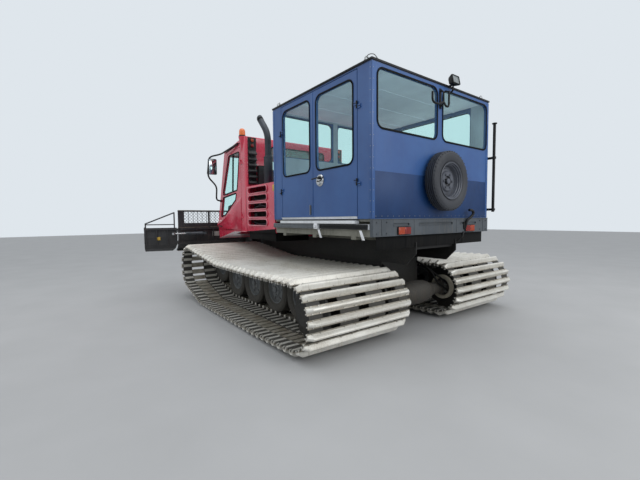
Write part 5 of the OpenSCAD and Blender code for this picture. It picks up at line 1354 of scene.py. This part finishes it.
# Pole with a capped top and two clamps
def addPole(shell):
    pole = rearKit["pole"]
    top = Vector((pole.x, pole.y, rearKit["poleTop"]))
    addTube(shell, [pole, top], 0.021, 20)
    addTurned(shell, [(0, -0.004), (0.034, -0.004), (0.036, 0.002), (0.034, 0.012), (0, 0.014)], 24,
              Matrix.Translation(top))
    for z in rearKit["clamps"]:
        addBlock(shell, at(-0.065, -1.356, z), at(0.060, -1.326, z + 0.035), 0.003)
        addBlock(shell, at(0.035, -1.350, z), at(0.060, -1.2413, z + 0.035), 0.003)
        addTurned(shell, [(0.0215, 0), (0.031, 0.001), (0.031, 0.034), (0.0215, 0.035), (0.0215, 0)], 24,
                  Matrix.Translation((pole.x, pole.y, z)))
        addBolts(shell, [at(0.048, -1.356, z + 0.0175), at(-0.058, -1.356, z + 0.0175)], (0, -1, 0), 0.008)


def makeRearFittings():
    shell, lens = bmesh.new(), bmesh.new()
    addWorkLamp(shell, lens)
    addTwinHook(shell)
    addPole(shell)
    makePiece(shell, "rearFittings", "blackPaint", "black_paint", replaced=("rear_fittings",))
    makePiece(lens, "workLampLens", "clearLens", "lamp_lens")


# Wire loops at the roof's corners
def makeRoofWires():
    wires = bmesh.new()
    for c, along in ((0.088, 1), (2.112, -1)):
        for side in (1, -1):
            middle = at(c, side * 1.165, 3.2905)
            reach = Vector((along * 0.070, side * 0.060, 0))
            up = Vector((0, 0, 1))
            addTube(wires, bent([middle - reach, middle - reach * 0.35 + up * 0.085,
                                 middle + reach * 0.35 + up * 0.085, middle + reach], 0.03), 0.0055, 8)
            for end in (middle - reach, middle + reach):
                addTurned(wires, [(0, 0), (0.010, 0), (0.010, 0.004), (0.004, 0.006), (0, 0.006)], 12,
                          Matrix.Translation(end))
    makePiece(wires, "roofWires", "zincSteel", "steel_fittings")


makeRearFittings()
makeRoofWires()

# Bumper: pressed channel with slots and ribs, and a tow hook
bumper = {"face": -0.0203, "half": 1.238, "slots": [(-0.90, -0.50), (-0.30, 0.42), (0.62, 0.90)],
          "ribs": (-1.10, -0.40, 0.52, 1.10), "hook": -0.610}


def makeBumperKit():
    mesh = bmesh.new()
    face, half = bumper["face"], bumper["half"]
    addBlock(mesh, at(-0.026, -half, 1.5205), at(-0.0003, half, 1.5296), 0.002)
    addBlock(mesh, at(-0.026, -half, 1.3245), at(face, half, 1.3330), 0.002)
    for y0, y1 in bumper["slots"]:
        addRim(mesh, rounded(acrossRect(face, (y0 - 0.008, y1 + 0.008), (1.437, 1.483)), 0.018), 0.008,
               Vector((-0.004, 0, 0)), 0.001)
    for y in bumper["ribs"]:
        addBlock(mesh, at(-0.024, y - 0.006, 1.334), at(face, y + 0.006, 1.5204), 0.001)
    addBolts(mesh, [at(face, y, z) for y in (-1.18, -1.02, 1.02, 1.18) for z in (1.36, 1.49)],
             (-1, 0, 0), 0.009)
    makePiece(mesh, "bumperPressings", "greyPaint", "bumper_paint")


def makeTowHook():
    hook = bmesh.new()
    y, face = bumper["hook"], bumper["face"]
    addTube(hook, bent([at(-0.028, y, 1.400), at(-0.050, y, 1.500), at(-0.075, y - 0.075, 1.545),
                        at(-0.085, y - 0.120, 1.600), at(-0.085, y - 0.085, 1.640),
                        at(-0.080, y - 0.010, 1.642)], 0.04), 0.019, 12)
    addBlock(hook, at(-0.036, y - 0.04, 1.37), at(face, y + 0.04, 1.47), 0.004)
    addTube(hook, bent([at(-0.030, y + 0.05, 1.335), at(-0.050, y + 0.09, 1.27), at(0.02, y + 0.12, 1.20),
                        at(0.10, y + 0.13, 1.15)], 0.05), 0.010, 10)
    addBolts(hook, [at(-0.036, y - 0.025, 1.385), at(-0.036, y + 0.025, 1.385)], (-1, 0, 0), 0.008)
    makePiece(hook, "towHook", "blackPaint", "black_paint")


makeBumperKit()
makeTowHook()
print("stage: rear fittings")

# Seats and benches: moulded foam under cloth, on plain bases
seats = {"cab": [(3.520, y, 1.480, 0.500) for y in (-0.550, 0.550)], "bench": (0.200, -0.300, 1.560, 1.600),
         "sideBench": (1.400, -1.081, 1.560, 1.300), "channel": 0.27, "crown": 0.012,
         "cushion": (0.478, 0.098), "back": (0.606, 0.088)}


# A foam block with crowned faces and sewn channels across it
def addCushion(mesh, size, crown, channels, place):
    block = bmesh.new()
    bmesh.ops.create_cube(block, size=2)
    bmesh.ops.subdivide_edges(block, edges=block.edges, cuts=11, use_grid_fill=True)
    for vert in block.verts:
        u, v, w = vert.co
        fold = sum(math.exp(-((v - channel) / 0.07) ** 2) for channel in channels)
        for axis, a, b in ((0, v, w), (1, u, w), (2, u, v)):
            full = (1 - a ** 4) * (1 - b ** 4)
            vert.co[axis] *= size[axis] / 2 - crown * (1 - full)
        vert.co.z -= math.copysign(0.008, w) * fold if abs(w) > 0.99 else 0
    stamp(mesh, block, [place])


def makeSeats():
    foam, bases = bmesh.new(), bmesh.new()
    places = [(Matrix.Translation(at(c, y, z)), wide) for c, y, z, wide in seats["cab"] + [seats["bench"]]]
    c, y, z, wide = seats["sideBench"]
    places.append((Matrix.Translation(at(c, y, z)) @ Matrix.Rotation(math.pi / 2, 4, "Z"), wide))
    for place, wide in places:
        count = max(2, round(wide / seats["channel"]))
        seams = [-1 + 2 * i / count for i in range(1, count)]
        slant = Matrix.Rotation(math.radians(-6.3), 4, "Y") @ Matrix.Rotation(math.pi / 2, 4, "Y")
        level = Matrix.Translation((0.240, 0, 0.380))
        lean = Matrix.Translation((0.005, 0, 0.742)) @ slant
        for (deep, thick), turn in ((seats["cushion"], level), (seats["back"], lean)):
            addCushion(foam, (deep, wide - 0.004, thick), seats["crown"], seams, place @ turn)
        addBlock(bases, (0.122, 0.062 - wide / 2, 0.002), (0.358, wide / 2 - 0.062, 0.328), 0.012, place)
        for y in (0.09 - wide / 2, wide / 2 - 0.09):
            addBlock(bases, (0.05, y - 0.02, 0.0), (0.43, y + 0.02, 0.03), 0.006, place)
    piece = makePiece(foam, "seatCushions", "seatCloth", "seat_cloth", replaced=("seats",))
    soften = piece.modifiers.new("soften", "SUBSURF")
    soften.levels = 1
    smooth = bpy.data.meshes.new_from_object(piece.evaluated_get(bpy.context.evaluated_depsgraph_get()))
    piece.modifiers.clear()
    piece.data = smooth
    makePiece(bases, "seatBases", "blackPlastic", "dark_plastic", replaced=("seats",))


makeSeats()
print("stage: seats")


# Load bed: slotted rail, grey step, hanging plates and the apron under the bumper
bed = {"rail": (0.042, 0.958), "railFace": 1.2640, "holes": 22, "holePitch": 0.040, "step": (1.084, 2.176),
       "hangers": (0.110, 0.920), "lugs": 57, "lugPitch": 0.030, "apronHalf": 1.150}


def makeBedKit():
    rail, step, plates, apron = bmesh.new(), bmesh.new(), bmesh.new(), bmesh.new()
    (r0, r1), (s0, s1) = bed["rail"], bed["step"]
    for side in (1, -1):
        face = side * bed["railFace"]
        addBlock(rail, at(r0, side * 1.2603, 1.4055), at(r1, face, 1.4670), 0.001)
        for i in range(bed["holes"]):
            c = 0.075 + i * bed["holePitch"]
            addRim(rail, rounded(alongRect((c, c + 0.028), face, (1.424, 1.449)), 0.012, 3), 0.003,
                   Vector((0, side * 0.003, 0)))
        addBlock(step, at(s0, side * 1.2703, 1.4065), at(s1, side * 1.2760, 1.4665), 0.002)
        addBlock(step, at(s0, side * 1.2003, 1.4683), at(s1, side * 1.2740, 1.4722), 0.001)
        for z in (1.415, 1.458):
            addTube(step, [at(s0 + 0.002, side * 1.2765, z), at(s1 - 0.002, side * 1.2765, z)], 0.004, 8)
        # Clamp between the rail and the step
        addBlock(plates, at(0.985, side * 1.190, 1.398), at(1.060, side * 1.285, 1.474), 0.006)
        addBlock(plates, at(1.000, side * 1.285, 1.412), at(1.045, side * 1.297, 1.460), 0.004)
        addBolts(plates, [at(1.022, side * 1.297, z) for z in (1.424, 1.448)], (0, side, 0), 0.009)
        for c in bed["hangers"]:
            lean = [(c + 0.030, 1.395), (c + 0.072, 1.395), (c + 0.022, 1.285), (c - 0.022, 1.285)]
            addPrism(plates, acrossSide(lean, side * 1.262), Vector((0, side * 0.006, 0)), 0.001)
        # Tread lip on the door's sill
        for i in range(bed["lugs"]):
            c = 0.256 + i * bed["lugPitch"]
            addBlock(plates, at(c, side * 1.2050, 1.5103), at(c + 0.010, side * 1.2780, 1.5125))
    half = bed["apronHalf"]
    addBlock(apron, at(0.0215, -half, 1.165), at(0.0297, half, 1.3235), 0.002)
    for y in (-0.62, 0.0, 0.62):
        addBlock(apron, at(0.0175, y - 0.010, 1.168), at(0.0213, y + 0.010, 1.320), 0.001)
    makePiece(rail, "slottedRails", "blackPaint", "black_paint")
    makePiece(step, "sideStepTops", "wheelPaint", "step_metal")
    makePiece(plates, "stepPlates", "sheetAluminium", "step_metal")
    makePiece(apron, "rearApron", "sealRubber", "frame_paint")


makeBedKit()

# Blade: woven net in the guard, stiffened edges and blank plates
blade = {"board": 5.290, "top": 1.370, "guard": 1.721, "hinge": (5.262, 1.955), "fold": 15, "mesh": 0.070,
         "half": 1.940,
         "plates": [(1.02, 1.16, 0.16, 0.11), (-1.30, 1.14, 0.16, 0.11), (0.40, 1.20, 0.07, 0.05)]}


def addNet(mesh, ends, low, high, ahead):
    tall = high - low
    count = int((ends[1] - ends[0] + tall) / blade["mesh"])
    for k in range(count):
        for turn in (1, -1):
            foot = ends[0] - tall + (k + 0.5) * blade["mesh"]
            run = [max(ends[0] - foot, 0), min(ends[1] - foot, tall)]
            if run[1] - run[0] < 0.02:
                continue
            spots = [(foot + t, low + t) if turn > 0 else (foot + t, high - t) for t in run]
            addTube(mesh, [at(ahead, y, z) for y, z in spots], 0.0030, 4)


def makeBladeKit():
    net, trim, plates = bmesh.new(), bmesh.new(), bmesh.new()
    half = blade["half"]
    addNet(net, (0.010 - half, half - 0.010), blade["top"] + 0.100, blade["guard"], blade["board"] - 0.0105)
    makePiece(net, "guardNet", "blackPaint", "blade_paint", "blade")
    # Wear strip on the cutting edge and a rolled bead on the guard's rail
    strip = [(5.372, 0.8505), (5.372, 0.8440), (5.445, 0.8440), (5.445, 0.8505)]
    addPrism(trim, acrossSide(strip, -half), Vector((0, 2 * half, 0)), 0.001)
    for z in (1.372, 1.751):
        addTube(trim, [at(5.272, -half - 0.005, z), at(5.272, half + 0.005, z)], 0.006, 8)
    makePiece(trim, "bladeEdges", "wornSteel", "blade_paint", "blade")
    for y, z, wide, tall in blade["plates"]:
        addBlock(plates, at(5.2735, y, z), at(5.2785, y + wide, z + tall), 0.002)
    makePiece(plates, "bladePlates", "blankPlate", "blade_paint", "blade")


# A plate on each wing, turned with the wing's fold at its hinge
def makeWingPlates():
    for side, word in bothSides.items():
        hinge = at(blade["hinge"][0], side * blade["hinge"][1], 0)
        place = (Matrix.Translation(hinge) @ Matrix.Rotation(math.radians(-side * blade["fold"]), 4, "Z")
                 @ Matrix.Translation(-hinge))
        mesh = bmesh.new()
        addBlock(mesh, at(5.2725, side * 2.32, 1.10), at(5.2775, side * 2.40, 1.17), 0.002, place)
        makePiece(mesh, "wingPlate" + word.title(), "yellowPlate", "blade_paint", "wing_" + word)


makeBladeKit()
makeWingPlates()
print("stage: bed and blade trim")

# Laminate inside the passenger cabin, round the windows
lining = {"low": 1.566, "thick": 0.003, "gap": 0.0008, "endSill": 2.540, "endTop": 3.225, "sideSill": 2.168,
          "sideTop": 3.250, "leafLow": 1.572, "leafTop": 3.228, "leaves": [(1.146, 1.934), (0.246, 1.124)]}


def addPanels(mesh, spots, y0, y1):
    for c0, c1, z0, z1 in spots:
        addBlock(mesh, at(c0, y0, z0), at(c1, y1, z1), 0.0006)


def makeLining():
    mesh = bmesh.new()
    thick, gap, lap = lining["thick"], lining["gap"], gasket["lap"]
    inside = cabin["half"] - cabin["wall"]
    wide = inside - 0.002
    post = (panes["rear"][0][1] + 0.012, panes["rear"][1][0] - 0.012)
    for c in (cabin["wall"] + gap, cabin["length"] - cabin["wall"] - gap - thick):
        for (y0, y1), z0, z1 in (((-wide, wide), lining["low"], lining["endSill"]),
                                 (post, lining["endSill"], lining["endTop"]),
                                 ((-wide, wide), lining["endTop"], lining["sideTop"] + 0.002)):
            addBlock(mesh, at(c, y0, z0), at(c + thick, y1, z1), 0.0006)
    c0, c1 = cabin["wall"] + 0.006, cabin["length"] - cabin["wall"] - 0.006
    w0, w1 = panes["right"][0] - lap, panes["right"][1] + lap
    addPanels(mesh, [(c0, c1, lining["low"], lining["sideSill"]),
                     (c0, w0, lining["sideSill"], lining["sideTop"]),
                     (w1, c1, lining["sideSill"], lining["sideTop"])], gap - inside, gap + thick - inside)
    makePiece(mesh, "cabinLining", "liningSheet", "cabin_paint")
    for body, (c0, c1), pane in zip(("front_leaf", "rear_leaf"), lining["leaves"], panes["side"]):
        mesh = bmesh.new()
        w0, w1 = pane[0] - lap, pane[1] + lap
        sill, top = lining["sideSill"], lining["leafTop"]
        addPanels(mesh, [(c0, c1, lining["leafLow"], sill), (c0, w0, sill, top), (w1, c1, sill, top),
                         (w0, w1, panes["sideHeight"][1] + 0.014, top)], inside - gap - thick, inside - gap)
        makePiece(mesh, body + "Lining", "liningSheet", "cabin_paint", body)


makeLining()
print("stage: lining")


# Pale floor that meets a pale background
def makeFloor():
    mesh = bmesh.new()
    bmesh.ops.create_grid(mesh, x_segments=1, y_segments=1, size=40)
    data = bpy.data.meshes.new("floor")
    mesh.to_mesh(data)
    mesh.free()
    floor = bpy.data.objects.new("floor", data)
    bpy.context.scene.collection.objects.link(floor)
    material, tree = newMaterial("paleFloor")
    place = addNode(tree, "ShaderNodeTexCoord").outputs["Object"]
    patch = addNode(tree, "ShaderNodeTexNoise", {"Vector": place, "Scale": 1.2, "Detail": 4.0}).outputs["Fac"]
    tone = addNode(tree, "ShaderNodeMix", {"data_type": "RGBA", 0: patch, 6: toLinear("a0a0a0"),
                                           7: toLinear("adadad")}).outputs[2]
    shader = addNode(tree, "ShaderNodeBsdfPrincipled", {"Base Color": tone, "Roughness": 0.9})
    addNode(tree, "ShaderNodeOutputMaterial", {"Surface": shader.outputs[0]})
    data.materials.append(material)


# Soft studio light: an even dome seen as a pale background, and three large panels
def makeLight():
    world = bpy.data.worlds.new("dome")
    bpy.context.scene.world = world
    world.use_nodes = True
    tree = world.node_tree
    tree.nodes.clear()
    seen = addNode(tree, "ShaderNodeLightPath").outputs["Is Camera Ray"]
    way = addNode(tree, "ShaderNodeTexCoord").outputs["Generated"]
    rise = addNode(tree, "ShaderNodeSeparateXYZ", {0: way}).outputs["Z"]
    glow = addNode(tree, "ShaderNodeMapRange", {0: rise, 1: 0.0, 2: 0.9, 3: 0.62, 4: 1.25}).outputs[0]
    dome = addNode(tree, "ShaderNodeBackground", {"Color": toLinear("e2e7ec"), "Strength": glow})
    back = addNode(tree, "ShaderNodeBackground", {"Color": toLinear("dfe6ec"), "Strength": 1.0})
    both = addNode(tree, "ShaderNodeMixShader", {0: seen, 1: dome.outputs[0], 2: back.outputs[0]})
    addNode(tree, "ShaderNodeOutputWorld", {"Surface": both.outputs[0]})
    panels = {"overhead": (at(1.5, 0.5, 9.0), 8.0, 240), "behind": (at(-8.0, -2.0, 5.0), 6.0, 330),
              "side": (at(5.0, 9.0, 5.0), 6.0, 50)}
    for name, (spot, size, power) in panels.items():
        data = bpy.data.lights.new(name, "AREA")
        data.size = size
        data.energy = power
        data.specular_factor = 0.35
        lamp = bpy.data.objects.new(name, data)
        bpy.context.scene.collection.objects.link(lamp)
        lamp.location = spot
        lamp.rotation_euler = (at(2.0, 0.0, 1.2) - spot).to_track_quat("-Z", "Y").to_euler()


makeCamera()
makeFloor()
makeLight()
bpy.context.scene.view_settings.view_transform = "Standard"
print("stage: camera, floor and light")
